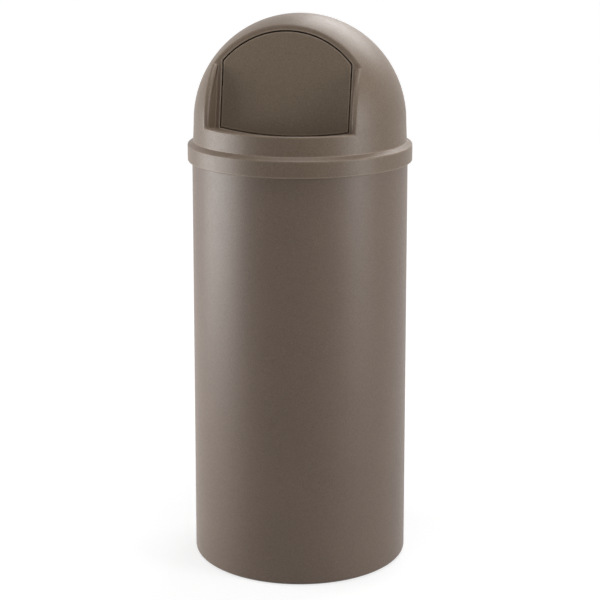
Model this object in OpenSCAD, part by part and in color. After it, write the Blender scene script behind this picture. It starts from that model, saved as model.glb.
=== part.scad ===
// Dome top waste receptacle: round container, lift-off hood with a self-closing
// push door, and a rigid inner liner with two drop handles.
// Millimetres, +Z up, the push door faces -Y, the middle of the base is the origin.

/* [Overall size] */
// Height from the floor to the top of the hood
overall_height = 942; // [930:0.5:960]
// Outside diameter of the container just under the hood band
body_top_diameter = 363.6; // [355:0.1:372]
// Outside diameter of the container at the floor
body_base_diameter = 371.5; // [355:0.5:376]

/* [Container] */
// Wall thickness of the container
container_wall = 4; // [3:0.1:5]
// Rounding of the outer edge at the floor
base_round = 7; // [2:0.5:8]
// How far the middle of the base is lifted off the floor
base_recess = 6; // [3:0.5:10]
// How far the raised middle of the base stays inside the liner foot
foot_margin = 8.5; // [8:0.5:14]
// Height of the thick rim bead
bead_height = 8; // [5:0.5:12]
// How far the rim bead stands out from the wall
bead_reach = 2.8; // [2:0.1:3.6]

/* [Hood] */
// Wall thickness of the hood
hood_wall = 4; // [3.5:0.1:4.5]
// Gap between the hood band and the rim bead of the container
rim_clearance = 0.9; // [0.6:0.1:1.5]
// How far the dome stands in from the face of the band
band_step = 10.9; // [9:0.2:13]
// Height from the container rim to the middle of the dome
hood_upright = 42; // [36:0.2:45]
// Height of the band that hangs over the container rim
band_height = 27.5; // [24:0.5:36]
// Rounding of the top edge of the band
band_top_round = 2.5; // [1:0.5:3]
// Rounding of the bottom edge of the band
band_bottom_round = 1.5; // [0.5:0.5:1.5]
// Rise of the sloped shoulder from the band to the dome
shoulder_rise = 5.4; // [2:0.2:6]
// Extra diameter of the dome at the shoulder, for mould draft
dome_draft = 3; // [0:0.5:4]
// Standing gap between the hood and the container rim
rest_gap = 0.3; // [0.3:0.1:0.6]

/* [Front pocket] */
// Lean of the pocket back wall, degrees
pocket_tilt = 9.6; // [6:0.2:14]
// Depth of the pocket, from the front of the dome to its back wall
pocket_depth = 84.8; // [82:0.2:88]
// Distance of each side of the back wall from the reach of its arch
pocket_side = 36.9; // [34:0.1:40]
// Flare of each pocket side wall, degrees
pocket_flare = 10; // [6:0.5:12]
// Height of the sill above the middle of the dome
sill_lift = 1.1; // [1:0.1:6]
// Slope of the pocket floor, degrees down to the inside
floor_slope = 12; // [11:0.5:14]
// Width of the broken edge round the pocket mouth
edge_break = 4.2; // [2:0.2:5]
// Width of the broken edge along the sill
sill_break = 1.6; // [1:0.1:2]

/* [Push door] */
// Width of the wall left at each side of the door opening
frame_side = 4.7; // [4:0.1:6]
// Width of the wall left over the arched top of the opening
frame_top = 8.6; // [7:0.1:11]
// How far the lowest place of the opening is under the arc centre
opening_drop = 29; // [24:0.5:30]
// Radius of the gently curved bottom edge
bottom_arc = 600; // [550:10:800]
// Gap all round between the door and its opening
door_gap = 2.2; // [1.5:0.1:3]
// Set-back of the door face from the pocket back wall
door_recess = 0.8; // [0.5:0.1:1.5]
// Thickness of the door plate
door_plate = 3; // [2.4:0.1:3.4]
// Depth of the door from its face to the back of its rim
door_depth = 6.7; // [6.4:0.1:7]
// Thickness of the door rim and of its ribs
door_rim = 2.5; // [2:0.1:3]
// Thickness of the stop flange
flange_thickness = 2; // [1.5:0.1:2.2]
// How far the stop flange reaches behind the pocket wall
flange_reach = 4.6; // [3.5:0.1:4.8]
// How far the stop flange ends under the hinge rod
flange_end = 30; // [28:1:38]
// Distance of the two upright ribs from the middle plane
rib_offset = 42; // [36:1:50]
// Thickness of the rubber bumpers
bumper_thickness = 1.2; // [0.8:0.1:1.2]
// Length of each rubber bumper
bumper_length = 14; // [8:1:20]
// Depth of the lower bumpers under the arc centre
bumper_low = 6; // [0:1:10]
// Height of the upper bumpers over the arc centre
bumper_high = 30; // [20:1:34]

/* [Hinge] */
// Diameter of the hinge rod
rod_diameter = 6; // [5:0.5:6.5]
// How far the hinge rod passes each side of the opening
rod_overhang = 16.1; // [15:0.1:17]
// Depth of the rod axis behind the pocket wall face
hinge_depth = 16; // [15:0.5:17]
// Depth of the rod axis under the top of the opening
hinge_drop = 64; // [62:0.5:68]
// Width of each hinge lug on the door
lug_width = 8; // [6:0.5:10]
// Room for the spring between each lug and its bracket
spring_room = 25; // [24.5:0.5:27]
// Outside radius of the lugs and bracket eyes
eye_radius = 7.5; // [7:0.5:8]
// Thickness of the bracket eye plate
bracket_eye = 5; // [4:0.5:5]
// Distance of each bracket from the side of the opening
bracket_gap = 6.1; // [5.9:0.1:6.5]
// Thickness of the bracket foot
bracket_foot = 3; // [2.5:0.1:3.5]
// Height of the bracket foot
foot_height = 32; // [30:1:34]
// How far the bracket foot reaches out from the inner face of its eye
foot_reach = 15; // [14:0.1:15.5]
// Gap between the corner of the bracket foot and the dome wall
foot_gap = 2.16; // [1.5:0.02:4]
// Shank diameter of the bracket screws
screw_diameter = 3.8; // [3:0.1:4]
// Head diameter of the bracket screws
screw_head = 8; // [7:0.5:9]
// Length of the bracket screws under the head
screw_length = 12; // [9:0.5:12]
// Distance between the two screws of a bracket
screw_pitch = 16; // [14:0.5:18]
// Wire diameter of the door springs
spring_wire = 1.6; // [1.2:0.1:1.7]
// Coil diameter of the door springs, through the middle of the wire
spring_coil = 10; // [9.6:0.2:10.4]
// Full turns of each door spring
spring_turns = 8; // [6:1:8]
// Running clearance round the rod, on the radius
running_clearance = 0.06; // [0.03:0.01:0.1]

/* [Inner liner] */
// Gap between the liner and the container at the top
liner_gap = 12.5; // [11:0.5:18]
// How much less the radius of the liner is at its foot
liner_taper = 8; // [4:0.5:12]
// Sheet thickness of the liner
liner_sheet = 0.9; // [0.7:0.1:1.5]
// Depth of the top of the liner under the container rim
liner_drop = 24.4; // [20:0.2:34]
// Diameter of the rolled rim
rolled_rim = 8; // [6:0.5:9]
// Rise of the stiffening beads over the liner wall
bead_rise = 2.4; // [1.5:0.1:3]

/* [Drop handles] */
// Wire diameter of the handles
handle_wire = 5; // [4:0.5:5.5]
// Width of the grip between the middles of its legs
handle_width = 88; // [80:1:92]
// Drop of the grip under its pivots
handle_drop = 62; // [50:1:70]
// Distance of the pivots from the liner wall
pivot_inset = 19; // [18:0.5:22]
// Height of the pivots under the top of the liner
pivot_drop = 32; // [28:1:36]
// Thickness of the ear plates
ear_plate = 2.5; // [2:0.1:3]
// Height of the ear bases on the liner wall
ear_height = 24; // [22:1:30]
// Fitting gap between the ears and the liner wall
ear_gap = 0.2; // [0.2:0.1:0.5]
// Diameter of the rivet shanks
rivet_diameter = 4; // [3:0.1:4.5]
// Distance between the two rivets of an ear
rivet_pitch = 14; // [12:0.5:15]

/* [Hidden] */
$fn = 40;
small_fn = 16;
roll_fn = 13;

body_top_radius = body_top_diameter / 2;
body_base_radius = body_base_diameter / 2;
bead_radius = body_top_radius + bead_reach;
band_radius = bead_radius + rim_clearance + hood_wall;
dome_radius = band_radius - band_step;
dome_z = overall_height - dome_radius;
container_height = dome_z - hood_upright;
ledge_z = container_height + rest_gap;
band_top = ledge_z + hood_wall + 0.3;
band_bottom = band_top - band_height;
shoulder_top = band_top + shoulder_rise;
shoulder_radius = dome_radius + dome_draft / 2;
shoulder_angle = atan2(shoulder_rise, band_radius - shoulder_radius);
dome_inner = dome_radius - hood_wall;

pocket_distance = dome_radius - pocket_depth;
plane_y = -pocket_distance * cos(pocket_tilt);
plane_z = dome_z + pocket_distance * sin(pocket_tilt);
sill_z = dome_z + sill_lift;
sill_radius = sqrt(dome_radius * dome_radius - sill_lift * sill_lift);
arch_radius = sqrt(dome_radius * dome_radius - pocket_distance * pocket_distance);
pocket_half = arch_radius - pocket_side;
floor_drop = tan(floor_slope);
// Distance from the middle of the dome to each flared side wall
side_distance = (pocket_half - tan(pocket_flare) * pocket_distance) * cos(pocket_flare);
side_edge = sqrt(dome_radius * dome_radius - side_distance * side_distance);

opening_half = pocket_half - frame_side;
opening_arc = arch_radius - frame_top;
hinge_rise = opening_arc - hinge_drop;
flange_top = hinge_rise - flange_end;
flange_back = door_recess + door_depth;
flange_front = flange_back - flange_thickness;
door_back = door_recess + door_plate;
lower_rib = hinge_rise - 56;
upper_rib = hinge_rise - 20;
rod_radius = rod_diameter / 2;
bore_radius = rod_radius + running_clearance;
bushing_radius = rod_radius + 1.5;
rod_half = opening_half + rod_overhang;
bracket_offset = opening_half + bracket_gap;
bracket_end = bracket_offset + bracket_eye;
lug_end = bracket_offset - spring_room;
lug_offset = lug_end - lug_width;
bracket_depth = 20;
foot_end = bracket_offset + foot_reach;
foot_room = sqrt(dome_inner * dome_inner - (pocket_distance - hood_wall) * (pocket_distance - hood_wall));
foot_top = sqrt(foot_room * foot_room - foot_end * foot_end) - foot_gap;
foot_bottom = foot_top - foot_height;
screw_x = (bracket_end + foot_end) / 2;
screw_middle = (foot_bottom + foot_top) / 2;
screw_heights = [screw_middle - screw_pitch / 2, screw_middle + screw_pitch / 2];
bumper_heights = [-bumper_low, bumper_high];
nut_thickness = 2.3;
nut_radius = rod_radius + 2;

coil_radius = spring_coil / 2;
wire_radius = spring_wire / 2;
coil_start = lug_end + 3;
coil_end = bracket_offset - 3.5;
coil_pitch = (coil_end - coil_start) / (spring_turns + 0.5);
leg_down = 19;
leg_up = 7.5;
seat_radius = sqrt(coil_radius * coil_radius + leg_up * leg_up) + wire_radius + 0.9;
tab_front = hinge_depth + coil_radius + wire_radius + 0.1;
tab_bottom = hinge_rise - leg_down - 2;

liner_base_z = container_wall + rest_gap;
liner_top = container_height - liner_drop;
liner_top_radius = body_top_radius - container_wall - liner_gap;
liner_base_radius = liner_top_radius - liner_taper;
pivot_offset = liner_top_radius - pivot_inset;
liner_slope = (liner_top_radius - liner_base_radius) / (liner_top - liner_base_z);
bead_heights = [liner_top * 0.34, liner_top * 0.68];
pivot_z = liner_top - pivot_drop;
pivot_stub = handle_width / 2 + 12;
ear_y = handle_width / 2 + 6;
ear_angle_1 = asin((ear_y + 0.3) / (liner_top_radius - liner_sheet));
ear_angle_2 = ear_angle_1 + 9.5;
rivet_angle = ear_angle_1 + 5.5;
rivet_heights = [pivot_z - rivet_pitch / 2, pivot_z + rivet_pitch / 2];

plastic = [0.42, 0.37, 0.33];
door_colour = [0.38, 0.34, 0.30];
steel = [0.72, 0.73, 0.74];
zinc = [0.66, 0.68, 0.70];
rubber = [0.12, 0.12, 0.12];
nylon = [0.90, 0.89, 0.84];

// Outside radius of the liner at height z
function liner_radius(z) = liner_base_radius + liner_slope * (z - liner_base_z);

// Sharp tip of a corner at the origin, the solid lies toward (sx, sy)
module corner_cut(r, sx, sy) {
    difference() {
        translate([sx > 0 ? -0.5 : -r, sy > 0 ? -0.5 : -r])
            square(r + 0.5);
        translate([sx * r, sy * r])
            circle(r, $fn = small_fn);
    }
}

// Places its children in the frame of the pocket back wall:
// x across, y into the hood, z up along the wall, origin on the arc centre
module on_wall() {
    translate([0, plane_y, plane_z])
        rotate([-pocket_tilt, 0, 0])
            children();
}

// Gives a flat shape drawn across the wall a depth from y0 to y1
module slab(y0, y1) {
    translate([0, y1, 0])
        rotate([90, 0, 0])
            linear_extrude(y1 - y0)
                children();
}

// Round bar along x from x0 to x1
module bar_x(x0, x1, r, n = small_fn) {
    translate([x0, 0, 0])
        rotate([0, 90, 0])
            cylinder(r = r, h = x1 - x0, $fn = n);
}

// Draws its children and their mirror image
module both_sides() {
    children();
    mirror([1, 0, 0])
        children();
}

// ---- container ----

module container_profile() {
    inner_top = body_top_radius - container_wall;
    inner_base = body_base_radius - container_wall;
    foot_inner = liner_base_radius - foot_margin - 2;
    difference() {
        polygon([
            [0, base_recess],
            [foot_inner - 4, base_recess],
            [foot_inner, 0],
            [body_base_radius, 0],
            [body_top_radius, container_height - bead_height - bead_reach],
            [bead_radius, container_height - bead_height],
            [bead_radius, container_height],
            [inner_top, container_height],
            [inner_base, container_wall],
            [foot_inner + 2, container_wall],
            [foot_inner - 2, base_recess + container_wall],
            [0, base_recess + container_wall]
        ]);
        translate([body_base_radius, 0])
            corner_cut(base_round, -1, 1);
        translate([bead_radius, container_height])
            corner_cut(1.5, -1, -1);
    }
}

module container_body() {
    color(plastic)
        rotate_extrude()
            container_profile();
}

// ---- inner liner ----

module liner_profile() {
    wall_foot = liner_base_z + 8;
    difference() {
        union() {
            polygon([
                [0, wall_foot],
                [liner_base_radius - 6, wall_foot],
                [liner_base_radius - 3, liner_base_z],
                [liner_base_radius, liner_base_z],
                [liner_radius(liner_top - rolled_rim / 2), liner_top - rolled_rim / 2],
                [liner_radius(liner_top - rolled_rim / 2) - liner_sheet, liner_top - rolled_rim / 2],
                [liner_radius(wall_foot) - liner_sheet, wall_foot + liner_sheet],
                [0, wall_foot + liner_sheet]
            ]);
            translate([liner_top_radius - liner_sheet + rolled_rim / 2, liner_top - rolled_rim / 2])
                circle(rolled_rim / 2, $fn = roll_fn);
            for (z = bead_heights)
                translate([liner_radius(z) - 1.5, z])
                    circle(bead_rise + 1.5, $fn = roll_fn);
        }
        for (z = bead_heights)
            translate([liner_radius(z) - 1.5 - liner_sheet, z])
                circle(bead_rise + 1.5, $fn = roll_fn);
    }
}

// Points along each rivet axis, pointing outwards from the middle of the liner
module at_rivets() {
    for (side = [-1, 1])
        for (end = [-1, 1])
            for (z = rivet_heights)
                rotate([0, 0, (side > 0 ? 0 : 180) + end * rivet_angle])
                    translate([liner_radius(z), 0, z])
                        rotate([0, 90, 0])
                            children();
}

module liner() {
    color(zinc)
        difference() {
            rotate_extrude()
                liner_profile();
            at_rivets()
                translate([0, 0, -6])
                    cylinder(r = rivet_diameter / 2 + 0.05, h = 12, $fn = small_fn);
        }
}

// One ear: a curved base on the liner wall with a plate that carries the pivot
module handle_ear() {
    base_low = pivot_z - ear_height / 2;
    base_high = pivot_z + ear_height / 2;
    difference() {
        union() {
            rotate([0, 0, ear_angle_1])
                rotate_extrude(angle = ear_angle_2 - ear_angle_1)
                    polygon([
                        [liner_radius(base_low) - liner_sheet - ear_plate, base_low],
                        [liner_radius(base_low) - liner_sheet - ear_gap, base_low],
                        [liner_radius(base_high) - liner_sheet - ear_gap, base_high],
                        [liner_radius(base_high) - liner_sheet - ear_plate, base_high]
                    ]);
            intersection() {
                translate([pivot_offset, ear_y, pivot_z - 8])
                    cube([2 * pivot_inset, ear_plate, 16]);
                translate([0, 0, base_low])
                    cylinder(r = liner_radius(base_low) - liner_sheet - 0.5, h = ear_height);
            }
            translate([pivot_offset, ear_y + ear_plate, pivot_z])
                rotate([90, 0, 0])
                    cylinder(r = 8, h = ear_plate, $fn = small_fn);
        }
        translate([pivot_offset, ear_y + ear_plate + 1, pivot_z])
            rotate([90, 0, 0])
                cylinder(r = handle_wire / 2 + running_clearance, h = ear_plate + 2, $fn = small_fn);
        for (z = rivet_heights)
            rotate([0, 0, rivet_angle])
                translate([liner_radius(z) - pivot_inset, 0, z])
                    rotate([0, 90, 0])
                        cylinder(r = rivet_diameter / 2 + 0.05, h = 2 * pivot_inset, $fn = small_fn);
    }
}

module handle_ears() {
    color(steel)
        both_sides() {
            handle_ear();
            mirror([0, 1, 0])
                handle_ear();
        }
}

module ear_rivets() {
    inner = liner_sheet + ear_plate + ear_gap;
    color(steel)
        at_rivets() {
            translate([0, 0, -inner - 1.6])
                cylinder(r1 = rivet_diameter * 0.55, r2 = rivet_diameter * 0.95, h = 1.6, $fn = small_fn);
            translate([0, 0, -inner - 0.2])
                cylinder(r = rivet_diameter / 2, h = inner + 0.8, $fn = small_fn);
            translate([0, 0, 0.3])
                cylinder(r = rivet_diameter * 0.85, h = 1.2, $fn = small_fn);
        }
}

// Drop handle: pivot stubs, two legs and a grip, bent from one wire
module drop_handle() {
    r = handle_wire / 2;
    leg = handle_width / 2;
    top_bend = 6;
    low_bend = 14;
    translate([pivot_offset, 0, pivot_z]) {
        for (s = [-1, 1])
            mirror([0, s < 0 ? 1 : 0, 0]) {
                translate([0, leg + top_bend, 0])
                    rotate([-90, 0, 0])
                        cylinder(r = r, h = pivot_stub - leg - top_bend, $fn = small_fn);
                translate([0, leg + top_bend, -top_bend])
                    rotate([0, -90, 0])
                        rotate([0, 0, -90])
                            rotate_extrude(angle = 90, $fn = 20)
                                translate([top_bend, 0])
                                    circle(r, $fn = small_fn);
                translate([0, leg, -handle_drop + low_bend])
                    cylinder(r = r, h = handle_drop - low_bend - top_bend, $fn = small_fn);
                translate([0, leg - low_bend, -handle_drop + low_bend])
                    rotate([0, -90, 0])
                        rotate([0, 0, 90])
                            rotate_extrude(angle = 90, $fn = 20)
                                translate([low_bend, 0])
                                    circle(r, $fn = small_fn);
            }
        translate([0, -leg + low_bend, -handle_drop])
            rotate([-90, 0, 0])
                cylinder(r = r, h = handle_width - 2 * low_bend, $fn = small_fn);
    }
}

module handle_left() {
    color(steel)
        mirror([1, 0, 0])
            drop_handle();
}

module handle_right() {
    color(steel)
        drop_handle();
}

// ---- hood ----

// Sharp tip where the upright face of the band meets its sloped shoulder
module shoulder_tip_cut() {
    drop = band_top_round * (1 - sin(shoulder_angle)) / cos(shoulder_angle);
    translate([band_radius - band_top_round, band_top - drop])
        difference() {
            polygon([
                [band_top_round, 0],
                [band_top_round + 1, drop + 1],
                [band_top_round * sin(shoulder_angle), band_top_round * cos(shoulder_angle)]
            ]);
            circle(band_top_round, $fn = small_fn);
        }
}

// Full outline of the hood from the band to the top, without its hollow
module hood_outer_profile() {
    difference() {
        union() {
            polygon([
                [0, band_bottom],
                [band_radius, band_bottom],
                [band_radius, band_top],
                [shoulder_radius, shoulder_top],
                [dome_radius, dome_z],
                [0, dome_z]
            ]);
            intersection() {
                translate([0, dome_z])
                    circle(dome_radius);
                translate([0, dome_z - 0.01])
                    square([dome_radius + 5, dome_radius + 5]);
            }
        }
        shoulder_tip_cut();
        translate([band_radius, band_bottom])
            corner_cut(band_bottom_round, -1, 1);
    }
}

// Hollow of the hood
module hood_inner_profile() {
    union() {
        polygon([
            [0, band_bottom - 1],
            [band_radius - hood_wall, band_bottom - 1],
            [band_radius - hood_wall, ledge_z],
            [shoulder_radius - hood_wall, ledge_z],
            [dome_inner, dome_z],
            [0, dome_z]
        ]);
        intersection() {
            translate([0, dome_z])
                circle(dome_inner);
            translate([0, dome_z - 0.01])
                square([dome_radius, dome_radius]);
        }
    }
}

module hood_outer() {
    rotate_extrude()
        hood_outer_profile();
}

// Everything under the sloped pocket floor, lowered by "down"
module under_floor(down) {
    reach = 1.2 * sill_radius;
    translate([0, 0, -down])
        rotate_extrude()
            polygon([
                [0, sill_z - dome_radius],
                [reach, sill_z - dome_radius],
                [reach, sill_z + (reach - sill_radius) * floor_drop],
                [0, sill_z - sill_radius * floor_drop]
            ]);
}

// Flared block in front of depth y1, "grow" wider on each side
module pocket_block(y1, grow) {
    far = dome_radius;
    near_half = pocket_half + grow - tan(pocket_flare) * y1;
    far_half = pocket_half + grow + tan(pocket_flare) * far;
    on_wall()
        translate([0, 0, -dome_radius])
            linear_extrude(2 * dome_radius)
                polygon([
                    [-near_half, y1],
                    [near_half, y1],
                    [far_half, -far],
                    [-far_half, -far]
                ]);
}

// Outline of the opening, "grow" larger all round
module opening_shape(grow) {
    intersection() {
        translate([-opening_half - grow, -arch_radius])
            square([2 * (opening_half + grow), 2 * arch_radius]);
        circle(opening_arc + grow);
        translate([0, bottom_arc - opening_drop])
            circle(bottom_arc + grow, $fn = 360);
    }
}

// Cuts that break the sharp edges round the pocket mouth
module mouth_breaks() {
    c = edge_break;
    // arched edge
    intersection() {
        on_wall()
            rotate([90, 0, 0])
                rotate_extrude()
                    polygon([
                        [arch_radius - 0.6 * c, 0.6],
                        [arch_radius + 6, 0.6],
                        [arch_radius + 6, -c - 1],
                        [arch_radius + 0.55 * c, -0.6 * c]
                    ]);
        on_wall()
            translate([-pocket_half, -20, 0])
                cube([2 * pocket_half, 40, dome_radius]);
    }
    // side edges
    both_sides()
        intersection() {
            on_wall()
                translate([0, pocket_distance, 0])
                    rotate([0, 0, pocket_flare])
                        rotate([0, 90, 0])
                            rotate_extrude()
                                polygon([
                                    [side_edge - 1.25 * c, side_distance - 0.5 * c],
                                    [side_edge - 0.45 * c, side_distance + 1.1 * c],
                                    [side_edge + 8, side_distance + 0.6 * c],
                                    [side_edge + 8, side_distance - 0.5 * c]
                                ]);
            on_wall()
                translate([pocket_half / 2, -dome_radius, -dome_radius / 2])
                    cube([dome_radius, dome_radius - 0.05, 2 * dome_radius]);
            translate([0, -1.2 * dome_radius, sill_z + 0.05])
                cube(1.2 * dome_radius);
        }
    // sill
    intersection() {
        rotate_extrude()
            polygon([
                [sill_radius - sill_break, sill_z + 3],
                [sill_radius - sill_break, sill_z - 0.3 * sill_break],
                [sill_radius + 2, sill_z - 0.75 * sill_break - 2],
                [sill_radius + 2, sill_z + 3]
            ]);
        pocket_block(-10, 0.5);
    }
}

// Wall plates on the back of the pocket wall that carry the hinge brackets
module bracket_pads() {
    on_wall()
        both_sides()
            translate([opening_half + 1, 0.2, foot_bottom - 4])
                cube([foot_end - opening_half + 5, hood_wall - 0.2, foot_height + 8]);
}

module hood() {
    color(plastic)
        difference() {
            union() {
                difference() {
                    hood_outer();
                    rotate_extrude()
                        hood_inner_profile();
                }
                intersection() {
                    hood_outer();
                    difference() {
                        pocket_block(hood_wall, hood_wall / cos(pocket_flare));
                        under_floor(hood_wall / cos(floor_slope));
                    }
                }
                intersection() {
                    hood_outer();
                    bracket_pads();
                }
            }
            difference() {
                pocket_block(0, 0);
                under_floor(0);
            }
            on_wall()
                slab(-1, hood_wall + 1)
                    opening_shape(0);
            on_wall()
                both_sides()
                    for (z = screw_heights)
                        translate([screw_x, hood_wall + 1, z])
                            rotate([90, 0, 0])
                                cylinder(r = screw_diameter / 2 + 0.05, h = hood_wall + 2, $fn = small_fn);
            mouth_breaks();
        }
}

// ---- hinge ----

// Bracket: a foot on the pocket wall, an eye for the rod and a tab for the spring
module bracket_right_shape() {
    on_wall()
        difference() {
            union() {
                translate([bracket_offset, hood_wall, foot_bottom])
                    cube([foot_reach, bracket_foot, foot_height]);
                translate([bracket_offset, hood_wall, tab_bottom - 1])
                    cube([bracket_eye, bracket_depth, hinge_rise - tab_bottom + 1]);
                translate([0, hinge_depth, hinge_rise])
                    bar_x(bracket_offset, bracket_end, eye_radius + 0.5);
                translate([bracket_offset - 5.5, tab_front, tab_bottom])
                    cube([6, 2.1, 7]);
                translate([bracket_offset, hood_wall + 0.5, foot_bottom])
                    cube([2.5, bracket_foot + 6, foot_height - 6]);
            }
            translate([0, hinge_depth, hinge_rise])
                bar_x(bracket_offset - 1, bracket_end + 1, rod_radius + 0.03);
            for (z = screw_heights)
                translate([screw_x, hood_wall + bracket_foot + 1, z])
                    rotate([90, 0, 0])
                        cylinder(r = screw_diameter / 2 + 0.25, h = bracket_foot + 2, $fn = small_fn);
        }
}

module bracket_right() {
    color(steel)
        bracket_right_shape();
}

module bracket_left() {
    color(steel)
        mirror([1, 0, 0])
            bracket_right_shape();
}

// Pan head screw with a cross recess, the head at the origin, the shank toward -z
module pan_screw() {
    difference() {
        union() {
            cylinder(r = screw_head / 2, h = 1.2, $fn = small_fn);
            translate([0, 0, 1.2])
                cylinder(r1 = screw_head / 2, r2 = screw_head / 2 - 1.2, h = 1.2, $fn = small_fn);
            translate([0, 0, 2 - screw_length])
                cylinder(r = screw_diameter / 2, h = screw_length - 1.8, $fn = small_fn);
            translate([0, 0, -screw_length])
                cylinder(r1 = 0.6, r2 = screw_diameter / 2, h = 2, $fn = small_fn);
        }
        translate([-2.2, -0.5, 1.2])
            cube([4.4, 1, 2]);
        translate([-0.5, -2.2, 1.2])
            cube([1, 4.4, 2]);
    }
}

module bracket_screws() {
    color(zinc)
        on_wall()
            for (side = [-1, 1])
                for (z = screw_heights)
                    translate([side * screw_x, hood_wall + bracket_foot, z])
                        rotate([-90, 0, 0])
                            pan_screw();
}

module hinge_rod() {
    tip = rod_half - 0.8;
    color(steel)
        on_wall()
            translate([0, hinge_depth, hinge_rise]) {
                bar_x(-tip, tip, rod_radius);
                translate([tip, 0, 0])
                    rotate([0, 90, 0])
                        cylinder(r1 = rod_radius, r2 = rod_radius - 0.8, h = 0.8, $fn = small_fn);
                translate([-tip, 0, 0])
                    rotate([0, -90, 0])
                        cylinder(r1 = rod_radius, r2 = rod_radius - 0.8, h = 0.8, $fn = small_fn);
            }
}

module rod_nuts() {
    color(zinc)
        on_wall()
            both_sides()
                translate([bracket_end + 0.2, hinge_depth, hinge_rise])
                    difference() {
                        rotate([0, 90, 0])
                            cylinder(r1 = nut_radius, r2 = nut_radius - 1.2, h = nut_thickness, $fn = small_fn);
                        bar_x(-1, nut_thickness + 1, rod_radius + 0.02);
                    }
}

// Middle line of the spring wire as [angle, along x, slide along the tangent]
function spring_path() = concat(
    [[180, coil_start, -leg_up], [180, coil_start, -leg_up / 2]],
    [for (i = [0 : spring_turns * 8 + 4])
        [180 - i * 45, coil_start + coil_pitch * i / 8, 0]],
    [[-360 * spring_turns, coil_end, leg_down / 2], [-360 * spring_turns, coil_end, leg_down]]
);

// Point of the wire surface at step p and turn a round the wire
function wire_point(p, a, r) =
    let (
        radial = [cos(p[0]), sin(p[0])],
        along = [sin(p[0]), -cos(p[0])],
        reach = coil_radius + r * cos(a)
    )
    [
        p[1] + r * sin(a),
        radial[0] * reach + along[0] * p[2],
        radial[1] * reach + along[1] * p[2]
    ];

module door_spring() {
    path = spring_path();
    n = len(path);
    points = [for (p = path) for (a = [0 : 60 : 300]) wire_point(p, a, wire_radius)];
    sides = [for (i = [0 : n - 2]) for (k = [0 : 5])
        [i * 6 + k, i * 6 + (k + 1) % 6, (i + 1) * 6 + (k + 1) % 6, (i + 1) * 6 + k]];
    polyhedron(
        points = points,
        faces = concat([[5, 4, 3, 2, 1, 0]], sides, [[for (k = [0 : 5]) (n - 1) * 6 + k]]),
        convexity = 10
    );
}

// Least gap between two turns of the spring wire
function spring_gap() =
    let (path = [for (i = [0 : spring_turns * 8 + 4]) [180 - i * 45, coil_start + coil_pitch * i / 8, 0]])
    min([for (i = [0 : len(path) - 7]) for (j = [i + 6 : min(i + 10, len(path) - 1)])
        norm(wire_point(path[i], 0, 0) - wire_point(path[j], 0, 0)) - spring_wire]);

echo(spring_least_gap = spring_gap());

module spring_right() {
    color(zinc)
        on_wall()
            translate([0, hinge_depth, hinge_rise])
                door_spring();
}

module spring_left() {
    color(zinc)
        on_wall()
            translate([0, hinge_depth, hinge_rise])
                mirror([1, 0, 0])
                    door_spring();
}

// ---- push door ----

module door_shape(less) {
    opening_shape(-door_gap - less);
}

module push_door() {
    rib_back = flange_back + 2;
    color(door_colour)
        on_wall()
            difference() {
                union() {
                    slab(door_recess, door_back)
                        door_shape(0);
                    slab(door_back - 0.2, flange_back)
                        difference() {
                            door_shape(0);
                            door_shape(door_rim);
                        }
                    slab(flange_front, flange_back)
                        intersection() {
                            difference() {
                                opening_shape(flange_reach);
                                door_shape(door_rim - 0.2);
                            }
                            translate([-arch_radius, -arch_radius])
                                square([2 * arch_radius, arch_radius + flange_top]);
                        }
                    both_sides() {
                        translate([rib_offset, door_back - 0.2, -opening_drop + 6])
                            cube([door_rim, rib_back - door_back + 0.2, opening_drop + hinge_rise + 24]);
                        translate([lug_offset, door_back - 0.2, hinge_rise - eye_radius])
                            cube([lug_width, hinge_depth - door_back + 0.2, 2 * eye_radius]);
                        translate([0, hinge_depth, hinge_rise])
                            bar_x(lug_offset, lug_end, eye_radius);
                        translate([coil_start - 1.5, door_back - 0.2, hinge_rise - 24])
                            cube([5, hinge_depth - door_back - 6.8, 20]);
                    }
                    translate([-opening_half + 3, door_back - 0.2, lower_rib])
                        cube([2 * opening_half - 6, rib_back - door_back - 0.8, door_rim]);
                    translate([-rib_offset - 1, door_back - 0.2, upper_rib])
                        cube([2 * rib_offset + 2, rib_back - door_back - 0.8, door_rim]);
                }
                both_sides() {
                    translate([0, hinge_depth, hinge_rise])
                        bar_x(lug_offset - 1, lug_end + 1, bushing_radius + 0.02);
                    translate([0, hinge_depth, hinge_rise])
                        bar_x(lug_end + 0.01, lug_end + 10, seat_radius);
                }
            }
}

module door_bushings() {
    color(nylon)
        on_wall()
            both_sides()
                translate([0, hinge_depth, hinge_rise])
                    difference() {
                        union() {
                            bar_x(lug_offset - 0.05, lug_end + 0.05, bushing_radius);
                            bar_x(lug_end + 0.02, lug_end + 1.2, bushing_radius + 1);
                        }
                        bar_x(lug_offset - 1, lug_end + 3, bore_radius);
                    }
}

module door_bumpers() {
    front = flange_front - bumper_thickness;
    color(rubber)
        on_wall()
            both_sides()
                for (z = bumper_heights)
                    translate([opening_half + 0.4, front, z])
                        cube([flange_reach - 0.8, bumper_thickness - 0.02, bumper_length]);
}

container_body();
liner();
handle_ears();
ear_rivets();
handle_left();
handle_right();
hood();
bracket_left();
bracket_right();
bracket_screws();
hinge_rod();
rod_nuts();
spring_left();
spring_right();
push_door();
door_bushings();
door_bumpers();
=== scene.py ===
"""Looks of a dome top waste receptacle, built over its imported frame.

A round container carries a lift-off hood with a front pocket and a self-closing push door,
and holds a sheet metal liner with two drop handles.
Sizes in the classes are millimetres, +Z up, with the door on the -Y side.
They turn into metres when a piece is placed.
"""

import logging
import math
from dataclasses import dataclass, field
from enum import Enum
from typing import Any, Callable, Sequence

import bmesh
import bpy
from bmesh.types import BMEdge, BMFace, BMesh, BMVert
from mathutils import Matrix, Vector


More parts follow.
